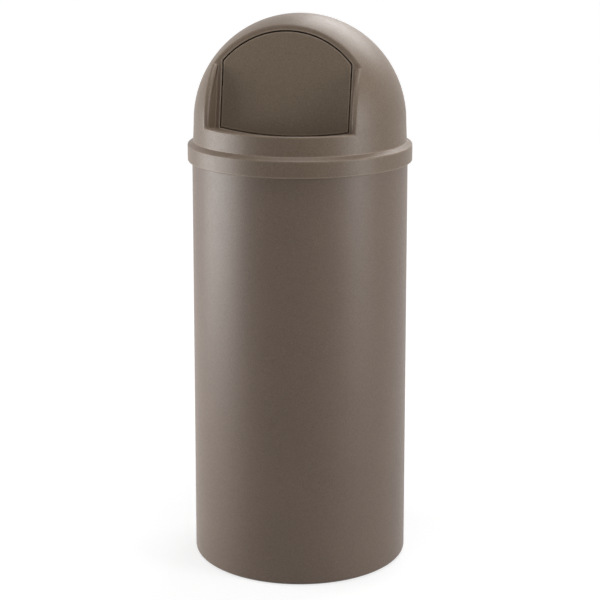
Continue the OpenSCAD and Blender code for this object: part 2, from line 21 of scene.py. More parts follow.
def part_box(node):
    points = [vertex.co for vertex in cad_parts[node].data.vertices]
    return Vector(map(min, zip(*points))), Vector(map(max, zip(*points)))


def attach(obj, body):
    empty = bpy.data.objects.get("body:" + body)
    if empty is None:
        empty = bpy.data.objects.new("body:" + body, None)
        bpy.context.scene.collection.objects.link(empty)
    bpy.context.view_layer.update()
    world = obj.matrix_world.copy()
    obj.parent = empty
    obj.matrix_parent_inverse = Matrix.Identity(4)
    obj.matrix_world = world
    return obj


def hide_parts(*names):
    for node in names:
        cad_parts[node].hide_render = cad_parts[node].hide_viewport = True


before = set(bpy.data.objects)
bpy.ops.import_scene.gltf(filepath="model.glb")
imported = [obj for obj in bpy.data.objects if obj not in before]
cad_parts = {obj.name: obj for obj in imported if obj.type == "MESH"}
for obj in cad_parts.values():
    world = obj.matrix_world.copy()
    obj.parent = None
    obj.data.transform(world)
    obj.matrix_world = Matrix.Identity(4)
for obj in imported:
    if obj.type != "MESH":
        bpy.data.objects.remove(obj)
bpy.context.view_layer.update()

MM = 0.001
log = logging.getLogger("receptacle")

Outline = list[tuple[float, float]]
Colour = tuple[int, int, int]


# ---- finishes ----


class Slot(Enum):
    """Material slots of the record that the pieces take their finish from."""

    HOOD = "hood_plastic"
    DOOR = "door_plastic"
    LINER = "galvanised_sheet"
    PLATED = "plated_steel"
    HANDLE = "handle_wire"
    ROD = "hinge_steel"
    SPRING = "spring_steel"
    BUSHING = "bushing_nylon"
    BUMPER = "bumper_rubber"


def linear(colour: Colour, gain: float = 1.0) -> tuple[float, float, float, float]:
    """Turns a written colour into shader values.

    Args:
        colour: Red, green and blue from 0 to 255, as a screen shows them.
        gain: Factor on the brightness.

    Returns:
        Linear red, green, blue and an alpha of 1.
    """
    parts = []
    for value in colour:
        share = value / 255
        parts.append(gain * (share / 12.92 if share <= 0.04045 else ((share + 0.055) / 1.055) ** 2.4))
    return (parts[0], parts[1], parts[2], 1.0)


class Nodes:
    """Adds shader nodes to a tree and links them."""

    def __init__(self, tree: bpy.types.NodeTree) -> None:
        """Keeps the tree."""
        self.tree = tree

    def add(self, kind: str, settings: dict[str, Any] | None = None, **inputs: Any) -> bpy.types.Node:
        """Adds one node.

        Args:
            kind: Type name of the node.
            settings: Properties of the node.
            inputs: Input values or sockets by name, with _ for a space.

        Returns:
            The new node.
        """
        node = self.tree.nodes.new(kind)
        for key, value in (settings or {}).items():
            setattr(node, key, value)
        for key, value in inputs.items():
            self.feed(node.inputs[key.replace("_", " ")], value)
        return node

    def feed(self, socket: bpy.types.NodeSocket, value: Any) -> None:
        """Links a socket into an input, or sets the input to a plain value.

        Args:
            socket: The input.
            value: An output socket, a number or a tuple.
        """
        if isinstance(value, bpy.types.NodeSocket):
            self.tree.links.new(value, socket)
        else:
            socket.default_value = value

    def spread(self, factor: Any, low: float, high: Any, start: float = 0.3, end: float = 0.7) -> Any:
        """Maps a factor from a range onto two values.

        Args:
            factor: The factor socket.
            low: Value at the start.
            high: Value or socket at the end.
            start: Factor at which the value starts to change.
            end: Factor at which it stops changing.

        Returns:
            The mapped output.
        """
        ends = {"From_Min": start, "From_Max": end, "To_Min": low, "To_Max": high}
        return self.add("ShaderNodeMapRange", Value=factor, **ends).outputs["Result"]

    def seen_directly(self) -> Any:
        """Returns a socket that is 1 for camera, glossy and transmission rays."""
        path = self.add("ShaderNodeLightPath")
        total = path.outputs["Is Camera Ray"]
        for name in ("Is Glossy Ray", "Is Transmission Ray"):
            step = self.add("ShaderNodeMath", {"operation": "ADD", "use_clamp": True})
            self.feed(step.inputs[0], total)
            self.feed(step.inputs[1], path.outputs[name])
            total = step.outputs[0]
        return total


class Bench(Nodes):
    """Builds one new material on object coordinates."""

    def __init__(self, name: str) -> None:
        """Starts a material with its shader and its object coordinates.

        Args:
            name: Name of the material.
        """
        self.material = bpy.data.materials.new(name)
        self.material.use_nodes = True
        super().__init__(self.material.node_tree)
        self.shader = self.tree.nodes["Principled BSDF"]
        self.place = self.add("ShaderNodeTexCoord").outputs["Object"]

    def noise(self, scale: float, detail: float = 3.0, stretch: Sequence[float] | None = None) -> Any:
        """Adds a noise pattern on object coordinates.

        Args:
            scale: Patches per metre.
            detail: Octaves.
            stretch: Factors on the three coordinates.

        Returns:
            The factor output of the noise.
        """
        place = self.place
        if stretch is not None:
            place = self.add("ShaderNodeMapping", Vector=place, Scale=tuple(stretch)).outputs["Vector"]
        node = self.add("ShaderNodeTexNoise", Vector=place, Scale=scale, Detail=detail, Roughness=0.55)
        return node.outputs["Fac"]

    def blend(self, factor: Any, first: Any, second: Any) -> Any:
        """Mixes two colours.

        Args:
            factor: Share of the second colour.
            first: A colour or socket.
            second: A colour or socket.

        Returns:
            The mixed colour output.
        """
        node = self.add("ShaderNodeMix", {"data_type": "RGBA"})
        self.feed(node.inputs[0], factor)
        self.feed(node.inputs[6], first)
        self.feed(node.inputs[7], second)
        return node.outputs[2]

    def edges(self, radius: float, gain: float) -> Any:
        """Finds the edges of a piece, which are painted paler where handling rubs it and, on the moulded
        plastic, also as a painted highlight.

        Args:
            radius: Reach of the paler edge in metres.
            gain: Strength of the answer.

        Returns:
            A factor from 0 on flat places to 1 on edges.
        """
        rounded_normal = self.add("ShaderNodeBevel", {"samples": 4}, Radius=radius).outputs["Normal"]
        normal = self.add("ShaderNodeNewGeometry").outputs["Normal"]
        dot = self.add("ShaderNodeVectorMath", {"operation": "DOT_PRODUCT"})
        self.feed(dot.inputs[0], rounded_normal)
        self.feed(dot.inputs[1], normal)
        return self.spread(dot.outputs["Value"], gain, 0.0, 0.85, 0.995)

    def bump(self, height: Any, strength: float, distance: float, under: Any = None) -> Any:
        """Adds a bump from a height.

        Args:
            height: The height socket.
            strength: Share of the bump that shows.
            distance: Height in metres.
            under: Normal of a coarser bump below this one.

        Returns:
            The normal output.
        """
        node = self.add("ShaderNodeBump", Height=height, Strength=strength, Distance=distance)
        if under is not None:
            self.feed(node.inputs["Normal"], under)
        return node.outputs["Normal"]

    def finish(self, **inputs: Any) -> bpy.types.Material:
        """Sets the shader's own inputs.

        Args:
            inputs: Input values or sockets by name, with _ for a space.

        Returns:
            The material.
        """
        for key, value in inputs.items():
            self.feed(self.shader.inputs[key.replace("_", " ")], value)
        return self.material


@dataclass(frozen=True)
class MouldedPlastic:
    """Satin rotational moulding: mottled colour, a fine pebbled skin and paler edges, partly rubbed wear and
    partly painted highlight lines along the rounded edges.
    """

    name: str
    colour: Colour
    fleck_wear_and_highlight_colour: Colour
    roughness: float = 0.42
    mottle: float = 0.05
    pebble: float = 0.22
    fleck: float = 0.22
    edge_wear_and_highlight: float = 0.85
    edge_wear_and_highlight_reach: float = 0.0045
    refraction: float = 1.4
    cloud_scale: float = 9.0
    fleck_scale: float = 520.0
    wave_scale: float = 26.0
    pebble_scale: float = 760.0
    gloss_scale: float = 160.0

    def material(self) -> bpy.types.Material:
        """Builds the material and returns it."""
        bench = Bench(self.name)
        cloud = bench.spread(bench.noise(self.cloud_scale), 0.0, 1.0)
        patches = bench.blend(cloud, linear(self.colour, 1 - self.mottle), linear(self.colour, 1 + self.mottle))
        flecks = bench.spread(bench.noise(self.fleck_scale, 4), 0.0, self.fleck, 0.35, 0.68)
        skin = bench.blend(flecks, patches, linear(self.fleck_wear_and_highlight_colour))
        # Paler edges: partly rubbed wear, partly a painted highlight along every rounded edge of the moulding.
        paler_edges = bench.blend(bench.edges(self.edge_wear_and_highlight_reach, self.edge_wear_and_highlight), skin, linear(self.fleck_wear_and_highlight_colour))
        wave = bench.bump(bench.noise(self.wave_scale, 2), 0.25, 0.0006)
        normal = bench.bump(bench.noise(self.pebble_scale), self.pebble, 0.0003, wave)
        rough = bench.spread(bench.noise(self.gloss_scale, 4), self.roughness - 0.035, self.roughness + 0.045)
        return bench.finish(Base_Color=paler_edges, Roughness=rough, Normal=normal, IOR=self.refraction)


@dataclass(frozen=True)
class SheetMetal:
    """Galvanised sheet: crystal patches of zinc with soft streaks from rolling."""

    name: str
    colour: Colour
    roughness: float = 0.42
    stain_scale: float = 30.0
    crystal_scale: float = 85.0
    wave_scale: float = 14.0

    def material(self) -> bpy.types.Material:
        """Builds the material and returns it."""
        bench = Bench(self.name)
        stain = bench.noise(self.stain_scale)
        cells = bench.add("ShaderNodeTexVoronoi", Vector=bench.place, Scale=self.crystal_scale, Randomness=1.0)
        tone = bench.add("ShaderNodeSeparateColor", Color=cells.outputs["Color"]).outputs["Red"]
        spangle = bench.blend(tone, linear(self.colour, 0.72), linear(self.colour, 1.12))
        stained = bench.blend(bench.spread(stain, 0.0, 0.5), spangle, linear(self.colour, 0.8))
        paler_edges = bench.blend(bench.edges(0.0012, 0.6), stained, linear(self.colour, 1.3))
        rough = bench.spread(tone, self.roughness - 0.1, self.roughness + 0.12, 0.0, 1.0)
        normal = bench.bump(bench.noise(self.wave_scale, 2), 0.3, 0.001)
        return bench.finish(Base_Color=paler_edges, Metallic=0.9, Roughness=rough, Normal=normal)


@dataclass(frozen=True)
class DrawnSteel:
    """Wire, rod and pressed steel: fine lines along the working direction and brighter edges."""

    name: str
    colour: Colour
    stretch: tuple[float, float, float] = (1.0, 1.0, 1.0)
    roughness: float = 0.3
    grain: float = 900.0
    film_scale: float = 60.0

    def material(self) -> bpy.types.Material:
        """Builds the material and returns it."""
        bench = Bench(self.name)
        lines = bench.noise(self.grain, stretch=self.stretch)
        film = bench.noise(self.film_scale, 4)
        tone = bench.blend(bench.spread(lines, 0.0, 1.0), linear(self.colour, 0.8), linear(self.colour, 1.1))
        dulled = bench.blend(bench.spread(film, 0.0, 0.45), tone, linear(self.colour, 0.65))
        paler_edges = bench.blend(bench.edges(0.0006, 0.8), dulled, linear(self.colour, 1.35))
        rough = bench.spread(film, self.roughness - 0.07, self.roughness + 0.14)
        normal = bench.bump(lines, 0.2, 0.0001)
        return bench.finish(Base_Color=paler_edges, Metallic=1.0, Roughness=rough, Normal=normal)


@dataclass(frozen=True)
class SmallMoulding:
    """Nylon and rubber: an even skin with faint specks and a soft sheen."""

    name: str
    colour: Colour
    speck_colour: Colour
    roughness: float = 0.5
    speck_scale: float = 1400.0
    gloss_scale: float = 300.0
    grain_scale: float = 900.0

    def material(self) -> bpy.types.Material:
        """Builds the material and returns it."""
        bench = Bench(self.name)
        specks = bench.spread(bench.noise(self.speck_scale, 4), 0.0, 0.5, 0.5, 0.75)
        body = bench.blend(specks, linear(self.colour), linear(self.speck_colour))
        paler_edges = bench.blend(bench.edges(0.0005, 0.5), body, linear(self.speck_colour))
        rough = bench.spread(bench.noise(self.gloss_scale), self.roughness - 0.08, self.roughness + 0.1)
        normal = bench.bump(bench.noise(self.grain_scale), 0.25, 0.0001)
        return bench.finish(Base_Color=paler_edges, Roughness=rough, Normal=normal)


# The paler colours colour the flecks and the edges; on the edges they are partly rubbed wear and partly a
# painted highlight.
TAUPE = (102, 87, 73)
DOOR_TAUPE = (102, 88, 72)
TAUPE_FLECK_WEAR_AND_HIGHLIGHT = (166, 148, 132)
CONTAINER_TAUPE = (101, 86, 75)
CONTAINER_FLECK_WEAR_AND_HIGHLIGHT = (158, 140, 126)


class Finishes:
    """One material for each slot of the record."""

    def __init__(self) -> None:
        """Builds the materials."""
        self.by_slot: dict[Slot, bpy.types.Material] = {
            Slot.HOOD: MouldedPlastic("taupe_moulding", TAUPE, TAUPE_FLECK_WEAR_AND_HIGHLIGHT).material(),
            Slot.DOOR: MouldedPlastic("taupe_door", DOOR_TAUPE, TAUPE_FLECK_WEAR_AND_HIGHLIGHT, 0.42, 0.04).material(),
            Slot.LINER: SheetMetal("zinc_spangle", (172, 177, 181)).material(),
            Slot.PLATED: DrawnSteel("zinc_plate", (190, 192, 190), roughness=0.34, grain=420.0).material(),
            Slot.HANDLE: DrawnSteel("bright_wire", (168, 171, 176), (1.0, 0.08, 1.0)).material(),
            Slot.ROD: DrawnSteel("ground_rod", (186, 188, 190), (0.02, 1.0, 1.0), 0.22).material(),
            Slot.SPRING: DrawnSteel("spring_wire", (138, 139, 140), (0.3, 1.0, 1.0), 0.33).material(),
            Slot.BUSHING: SmallMoulding("natural_nylon", (226, 221, 206), (240, 237, 228), 0.42).material(),
            Slot.BUMPER: SmallMoulding("black_rubber", (24, 24, 25), (58, 58, 60), 0.68).material(),
        }
        self.container = MouldedPlastic("taupe_container", CONTAINER_TAUPE, CONTAINER_FLECK_WEAR_AND_HIGHLIGHT).material()

    def dress(self, piece: bpy.types.Object, slot: Slot) -> None:
        """Gives a piece the one material of its slot.

        Args:
            piece: The object.
            slot: Its slot.
        """
        piece.data.materials.clear()
        piece.data.materials.append(self.by_slot[slot])


# ---- mesh tools ----


def between(first: Vector, last: Vector, share: float) -> Vector:
    """Turns one spoke of a circle part of the way to another.

    Args:
        first: The first spoke.
        last: The last spoke, of the same length.
        share: 0 for the first, 1 for the last.

    Returns:
        The turned spoke.
    """
    sweep = first.angle(last)
    return (first * math.sin((1 - share) * sweep) + last * math.sin(share * sweep)) / math.sin(sweep)


def rounded(corners: Sequence[tuple[float, float, float]], steps: int = 6) -> Outline:
    """Rounds the inner corners of an open outline.

    Args:
        corners: Points as (across, up, rounding radius).
        steps: Pieces in each rounded corner.

    Returns:
        The outline with its arcs.
    """
    points: Outline = [corners[0][:2]]
    for before, corner, after in zip(corners, corners[1:], corners[2:]):
        tip = Vector(corner[:2])
        if corner[2] <= 0:
            points.append(corner[:2])
            continue
        back = (Vector(before[:2]) - tip).normalized()
        ahead = (Vector(after[:2]) - tip).normalized()
        half = back.angle(ahead) / 2
        middle = tip + (back + ahead).normalized() * corner[2] / math.sin(half)
        first = tip + back * corner[2] / math.tan(half) - middle
        last = tip + ahead * corner[2] / math.tan(half) - middle
        points += [tuple(middle + between(first, last, step / steps)) for step in range(steps + 1)]
    points.append(corners[-1][:2])
    return points


def arc(middle: tuple[float, float], radius: float, start: float, end: float, steps: int) -> Outline:
    """Makes a circular arc.

    Args:
        middle: Centre of the arc.
        radius: Its radius.
        start: First angle in degrees.
        end: Last angle in degrees.
        steps: Pieces in the arc.

    Returns:
        Its points.
    """
    angles = [math.radians(start + (end - start) * step / steps) for step in range(steps + 1)]
    return [(middle[0] + radius * math.cos(angle), middle[1] + radius * math.sin(angle)) for angle in angles]


def quarter_round(radius: float, steps: int) -> Outline:
    """Rounds a corner that lies at (0, 0).

    Args:
        radius: The rounding.
        steps: Pieces in the rounding.

    Returns:
        Points from (radius, 0) to (0, radius).
    """
    turns = [math.pi / 2 * step / steps for step in range(steps + 1)]
    return [(radius * (1 - math.sin(turn)), radius * (1 - math.cos(turn))) for turn in turns]


def spun(outline: Outline, steps: int) -> BMesh:
    """Spins an outline round the upright middle axis.

    Args:
        outline: Points as (distance from the axis, height).
        steps: Pieces round the axis.

    Returns:
        The new mesh.
    """
    bm = bmesh.new()
    verts = [bm.verts.new((0.0, across, up)) for across, up in outline]
    edges = [bm.edges.new(pair) for pair in zip(verts, verts[1:])]
    bmesh.ops.spin(
        bm,
        geom=verts + edges,
        cent=(0, 0, 0),
        axis=(0, 0, 1),
        dvec=(0, 0, 0),
        angle=math.tau,
        steps=steps,
        use_merge=True,
        use_duplicate=False,
        use_normal_flip=False,
    )
    bmesh.ops.remove_doubles(bm, verts=bm.verts, dist=1e-3)
    return bm


def edge_between(first: BMVert, second: BMVert, bm: BMesh) -> BMEdge:
    """Finds or makes the edge between two vertices.

    Args:
        first: One vertex.
        second: The other.
        bm: The mesh.

    Returns:
        The edge.
    """
    for edge in first.link_edges:
        if edge.other_vert(first) is second:
            return edge
    return bm.edges.new((first, second))


def chain_edges(bm: BMesh, chain: Sequence[BMVert], closed: bool) -> list[BMEdge]:
    """Lists the edges along a chain of vertices.

    Args:
        bm: The mesh.
        chain: The vertices in order.
        closed: Whether the last joins the first.

    Returns:
        The edges in order.
    """
    ends = list(chain[1:]) + ([chain[0]] if closed else [])
    return [edge_between(first, second, bm) for first, second in zip(chain, ends)]


def grow_chain(bm: BMesh, chain: Sequence[BMVert], targets: Sequence[Vector], closed: bool) -> list[BMVert]:
    """Extrudes a chain of edges and moves the new chain to its targets.

    Args:
        bm: The mesh.
        chain: The vertices in order.
        targets: Where the new vertices go.
        closed: Whether the chain is a loop.

    Returns:
        The new vertices in the order of the old ones.
    """
    made = bmesh.ops.extrude_edge_only(bm, edges=chain_edges(bm, chain, closed))["geom"]
    new = {item for item in made if isinstance(item, BMVert)}
    grown = []
    for vert, target in zip(chain, targets):
        for edge in vert.link_edges:
            other = edge.other_vert(vert)
            if other in new:
                other.co = target
                grown.append(other)
                break
    return grown


def extrude_plate(
    bm: BMesh, loops: Sequence[Outline], place: Callable[[float, float, float], Vector], low: float, high: float
) -> None:
    """Fills flat loops and extrudes them into a closed plate.

    Args:
        bm: The mesh.
        loops: An outer outline and any holes in it.
        place: Turns (across, up, depth) into a point.
        low: Depth of the first face.
        high: Depth of the last face.
    """
    edges: list[BMEdge] = []
    for loop in loops:
        verts = [bm.verts.new(place(across, up, low)) for across, up in loop]
        edges += chain_edges(bm, verts, True)
    filled = bmesh.ops.triangle_fill(bm, use_beauty=True, use_dissolve=False, edges=edges)["geom"]
    faces = [item for item in filled if isinstance(item, BMFace)]
    grown = bmesh.ops.extrude_face_region(bm, geom=faces, use_keep_orig=True)["geom"]
    verts = [item for item in grown if isinstance(item, BMVert)]
    bmesh.ops.translate(bm, verts=verts, vec=place(0, 0, high) - place(0, 0, low))


def block(bm: BMesh, place: Matrix, low: Sequence[float], high: Sequence[float], edge: float) -> None:
    """Adds a bar with rounded edges.

    Args:
        bm: The mesh.
        place: Frame of the bar.
        low: Its lowest corner in that frame.
        high: Its highest corner in that frame.
        edge: Rounding of its edges.
    """
    size = Vector(high) - Vector(low)
    middle = (Vector(high) + Vector(low)) / 2
    matrix = place @ Matrix.Translation(middle) @ Matrix.Diagonal((*size, 1.0))
    verts = bmesh.ops.create_cube(bm, size=1.0, matrix=matrix)["verts"]
    edges = list(dict.fromkeys(item for vert in verts for item in vert.link_edges))
    bmesh.ops.bevel(
        bm,
        geom=edges,
        offset=edge,
        offset_type="OFFSET",
        affect="EDGES",
        segments=2,
        profile=0.5,
        material=-1,
        clamp_overlap=True,
    )


@dataclass
class Piece:
    """A named piece: the body it moves with, its slot and the CAD nodes that it stands for."""

    name: str
    body: str
    slot: Slot
    stands_for: tuple[str, ...] = ()
    sharp: float = 34.0

    def publish(self, bm: BMesh, finishes: Finishes) -> bpy.types.Object:
        """Turns a finished mesh into the object.

        Args:
            bm: The mesh, in millimetres.
            finishes: The materials.

        Returns:
            The object, riding on its body.
        """
        bmesh.ops.remove_doubles(bm, verts=bm.verts, dist=2e-3)
        bmesh.ops.recalc_face_normals(bm, faces=bm.faces)
        bmesh.ops.scale(bm, vec=(MM, MM, MM), verts=bm.verts)
        open_edges = sum(1 for edge in bm.edges if not edge.is_manifold)
        mesh = bpy.data.meshes.new(self.name)
        bm.to_mesh(mesh)
        bm.free()
        mesh.shade_smooth()
        mesh.set_sharp_from_angle(angle=math.radians(self.sharp))
        piece = bpy.data.objects.new(self.name, mesh)
        bpy.context.scene.collection.objects.link(piece)
        normals = piece.modifiers.new("flat_faces_stay_flat", "WEIGHTED_NORMAL")
        normals.keep_sharp = True
        finishes.dress(piece, self.slot)
        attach(piece, self.body)
        if self.stands_for:
            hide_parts(*self.stands_for)
        log.info("%s: %d faces, %d open edges", self.name, len(mesh.polygons), open_edges)
        return piece


# ---- container and liner ----


@dataclass
class Container:
    """Round outer container with a rolled foot and a thick rim bead."""

    height: float = 721.4
    top_radius: float = 181.8
    base_radius: float = 185.75
    wall: float = 4.0
    base_round: float = 7.0
    base_recess: float = 6.0
    foot_inner: float = 146.8
    bead_height: float = 8.0
    bead_reach: float = 2.8
    recess_run: float = 4.0
    floor_run: float = 2.0
    recess_round: float = 2.5
    crease_round: float = 1.5
    lip_round: float = 1.0
    around: int = 256

    def section(self) -> Outline:
        """Returns the section from the middle of the base round the rim to the inside floor."""
        bead = self.top_radius + self.bead_reach
        inner_top = self.top_radius - self.wall
        floor = self.base_recess + self.wall
        crease, lip = self.crease_round, self.lip_round
        return rounded([
            (0, self.base_recess, 0),
            (self.foot_inner - self.recess_run, self.base_recess, self.recess_round),
            (self.foot_inner, 0, crease),
            (self.base_radius, 0, self.base_round),
            (self.top_radius, self.height - self.bead_height - self.bead_reach, lip),
            (bead, self.height - self.bead_height, lip),
            (bead, self.height, crease),
            (inner_top, self.height, lip),
            (self.base_radius - self.wall, self.wall, crease),
            (self.foot_inner + self.floor_run, self.wall, crease),
            (self.foot_inner - self.floor_run, floor, crease),
            (0, floor, 0),
        ])

    def build(self, finishes: Finishes) -> None:
        """Builds the container and gives it its own shade of the finish."""
        shell = Piece("container_shell", "container", Slot.HOOD, ("container_body",))
        shell.publish(spun(self.section(), self.around), finishes).data.materials[0] = finishes.container


@dataclass
class Liner:
    """Galvanised liner with a rolled rim, two stiffening beads and a recessed bottom."""

    top: float = 697.0
    foot: float = 4.3
    top_radius: float = 165.3
    base_radius: float = 157.3
    sheet: float = 0.9
    roll: float = 4.0
    roll_start: float = 6.6
    bottom_rise: float = 8.0
    bottom_inset: float = 6.0
    bottom_round: float = 1.5
    foot_width: float = 3.0
    foot_round: float = 0.8
    bead_rise: float = 2.4
    bead_half: float = 5.0
    bead_crown: float = 1.6
    bead_foot_round: float = 1.6
    bead_round: float = 2.0
    bead_shares: tuple[float, float] = (0.34, 0.68)
    around: int = 192

    def radius(self, height: float) -> float:
        """Returns the outside radius at a height."""
        slope = (self.top_radius - self.base_radius) / (self.top - self.foot)
        return self.base_radius + slope * (height - self.foot)

    def wall(self, inset: float, rising: bool) -> list[tuple[float, float, float]]:
        """Makes one face of the wall with its beads.

        Args:
            inset: Distance of the face from the outside.
            rising: Whether the points go up.

        Returns:
            Corners as (across, up, rounding).
        """
        corners = []
        for share in self.bead_shares:
            height = self.top * share
            foot, head = height - self.bead_half, height + self.bead_half
            crown = self.radius(height) - inset + self.bead_rise
            corners += [
                (self.radius(foot) - inset, foot, self.bead_foot_round),
                (crown, height - self.bead_crown, self.bead_round),
                (crown, height + self.bead_crown, self.bead_round),
                (self.radius(head) - inset, head, self.bead_foot_round),
            ]
        return corners if rising else corners[::-1]

    def section(self) -> Outline:
        """Returns the section from the bottom up the outside, over the roll and down the inside."""
        bottom = self.foot + self.bottom_rise
        roll_middle = (self.top_radius - self.sheet + self.roll, self.top - self.roll)
        outside = rounded([
            (0, bottom, 0),
            (self.base_radius - self.bottom_inset, bottom, self.bottom_round),
            (self.base_radius - self.foot_width, self.foot, self.foot_round),
            (self.base_radius, self.foot, self.foot_round),
            *self.wall(0.0, True),
            (self.radius(self.top - self.roll_start), self.top - self.roll_start, 0),
        ])
        inside = rounded([
            (self.top_radius - self.sheet, self.top - self.roll - 2, 0),
            *self.wall(self.sheet, False),
            (self.radius(bottom) - self.sheet, bottom + self.sheet, self.bottom_round),
            (0, bottom + self.sheet, 0),
        ])
        return outside + arc(roll_middle, self.roll, -140, 180, 20) + inside

    def build(self, finishes: Finishes) -> None:
        """Builds the liner in its finish."""
        can = Piece("liner_can", "inner_liner", Slot.LINER, ("liner",))
        can.publish(spun(self.section(), self.around), finishes)


# ---- hood ----


class MouthEdge(Enum):
    """The four edges where the pocket meets the dome."""

    ARCH = "arch"
    RIGHT = "right"
    LEFT = "left"
    SILL = "sill"


@dataclass(frozen=True)
class Dome:
    """Main sizes of the hood that its own parts and the door share."""

    overall_height: float = 942.0
    radius: float = 178.6
    wall: float = 4.0
    tilt: float = math.radians(9.6)
    pocket_distance: float = 93.8
    pocket_half: float = 118.0
    flare: float = math.radians(4.0)
    sill_lift: float = 1.1
    floor_slope: float = math.radians(12.0)
    opening_half: float = 110.385
    opening_arc: float = 143.385
    opening_drop: float = 29.0
    bottom_arc: float = 600.0
    hinge_depth: float = 16.0
    hinge_rise: float = 79.385
    bracket_gap: float = 6.1
    low_steps: int = 32
    top_steps: int = 64
    side_steps: int = 12

    @property
    def bracket_offset(self) -> float:
        """How far out each hinge bracket stands."""
        return self.opening_half + self.bracket_gap

    @property
    def middle(self) -> Vector:
        """Middle of the dome."""
        return Vector((0, 0, self.overall_height - self.radius))

    @property
    def into(self) -> Vector:
        """Direction into the hood, square to the back wall."""
        return Vector((0, math.cos(self.tilt), -math.sin(self.tilt)))

    @property
    def up_wall(self) -> Vector:
        """Direction up along the back wall."""
        return Vector((0, math.sin(self.tilt), math.cos(self.tilt)))

    @property
    def side_distance(self) -> float:
        """Distance of each flared side wall from the middle of the dome."""
        reach = self.pocket_half - math.tan(self.flare) * self.pocket_distance
        return reach * math.cos(self.flare)

    @property
    def sill_radius(self) -> float:
        """Radius of the circle where the pocket floor meets the dome."""
        return math.sqrt(self.radius**2 - self.sill_lift**2)

    def wall_point(self, across: float, up: float, depth: float) -> Vector:
        """Turns (across, up the wall, depth behind its face) into a point."""
        face = self.middle + self.into * (depth - self.pocket_distance)
        return face + self.up_wall * up + Vector((across, 0, 0))

    def wall_matrix(self) -> Matrix:
        """Returns the frame of the back wall: x across, y into the hood, z up the wall."""
        matrix = Matrix.Rotation(-self.tilt, 4, "X")
        matrix.translation = self.wall_point(0, 0, 0)
        return matrix

    def side_normal(self, sign: int) -> Vector:
        """Returns the outward direction square to a flared side wall."""
        return Vector((sign * math.cos(self.flare), 0, 0)) + self.into * math.sin(self.flare)

    def floor_height(self, across: float, along: float) -> float:
        """Returns the height of the pocket floor over a place."""
        drop = (self.sill_radius - math.hypot(across, along)) * math.tan(self.floor_slope)
        return self.middle.z + self.sill_lift - drop

    def opening(self, grow: float) -> Outline:
        """Makes the outline of the door opening.

        Args:
            grow: How much wider it is all round.

        Returns:
            Points as (across, up the wall), counterclockwise from the lower left corner.
        """
        half = self.opening_half + grow
        top_radius = self.opening_arc + grow
        low_radius = self.bottom_arc + grow
        low_middle = (0.0, self.bottom_arc - self.opening_drop)
        low_angle = math.degrees(math.asin(half / low_radius))
        top_angle = math.degrees(math.acos(half / top_radius))
        low = arc(low_middle, low_radius, -90 - low_angle, -90 + low_angle, self.low_steps)
        top = arc((0, 0), top_radius, top_angle, 180 - top_angle, self.top_steps)
        foot, rise = low[-1][1], top[0][1] - low[-1][1]
        right = [(half, foot + rise * step / self.side_steps) for step in range(1, self.side_steps)]
        left = [(-across, up) for across, up in reversed(right)]
        return low + right + top + left

    def skin_opening(self, bm: BMesh, path: Outline) -> tuple[list[BMVert], list[BMVert]]:
        """Runs a skin round the door opening, loop by loop.

        Args:
            bm: The mesh.
            path: Loops as (how much wider than the opening, depth behind the wall's face).

        Returns:
            The first loop and the last.
        """
        loops = []
        for grow, depth in path:
            loops.append([self.wall_point(across, up, depth) for across, up in self.opening(grow)])
        first = [bm.verts.new(spot) for spot in loops[0]]
        loop = first
        for targets in loops[1:]:
            loop = grow_chain(bm, loop, targets, True)
        return first, loop


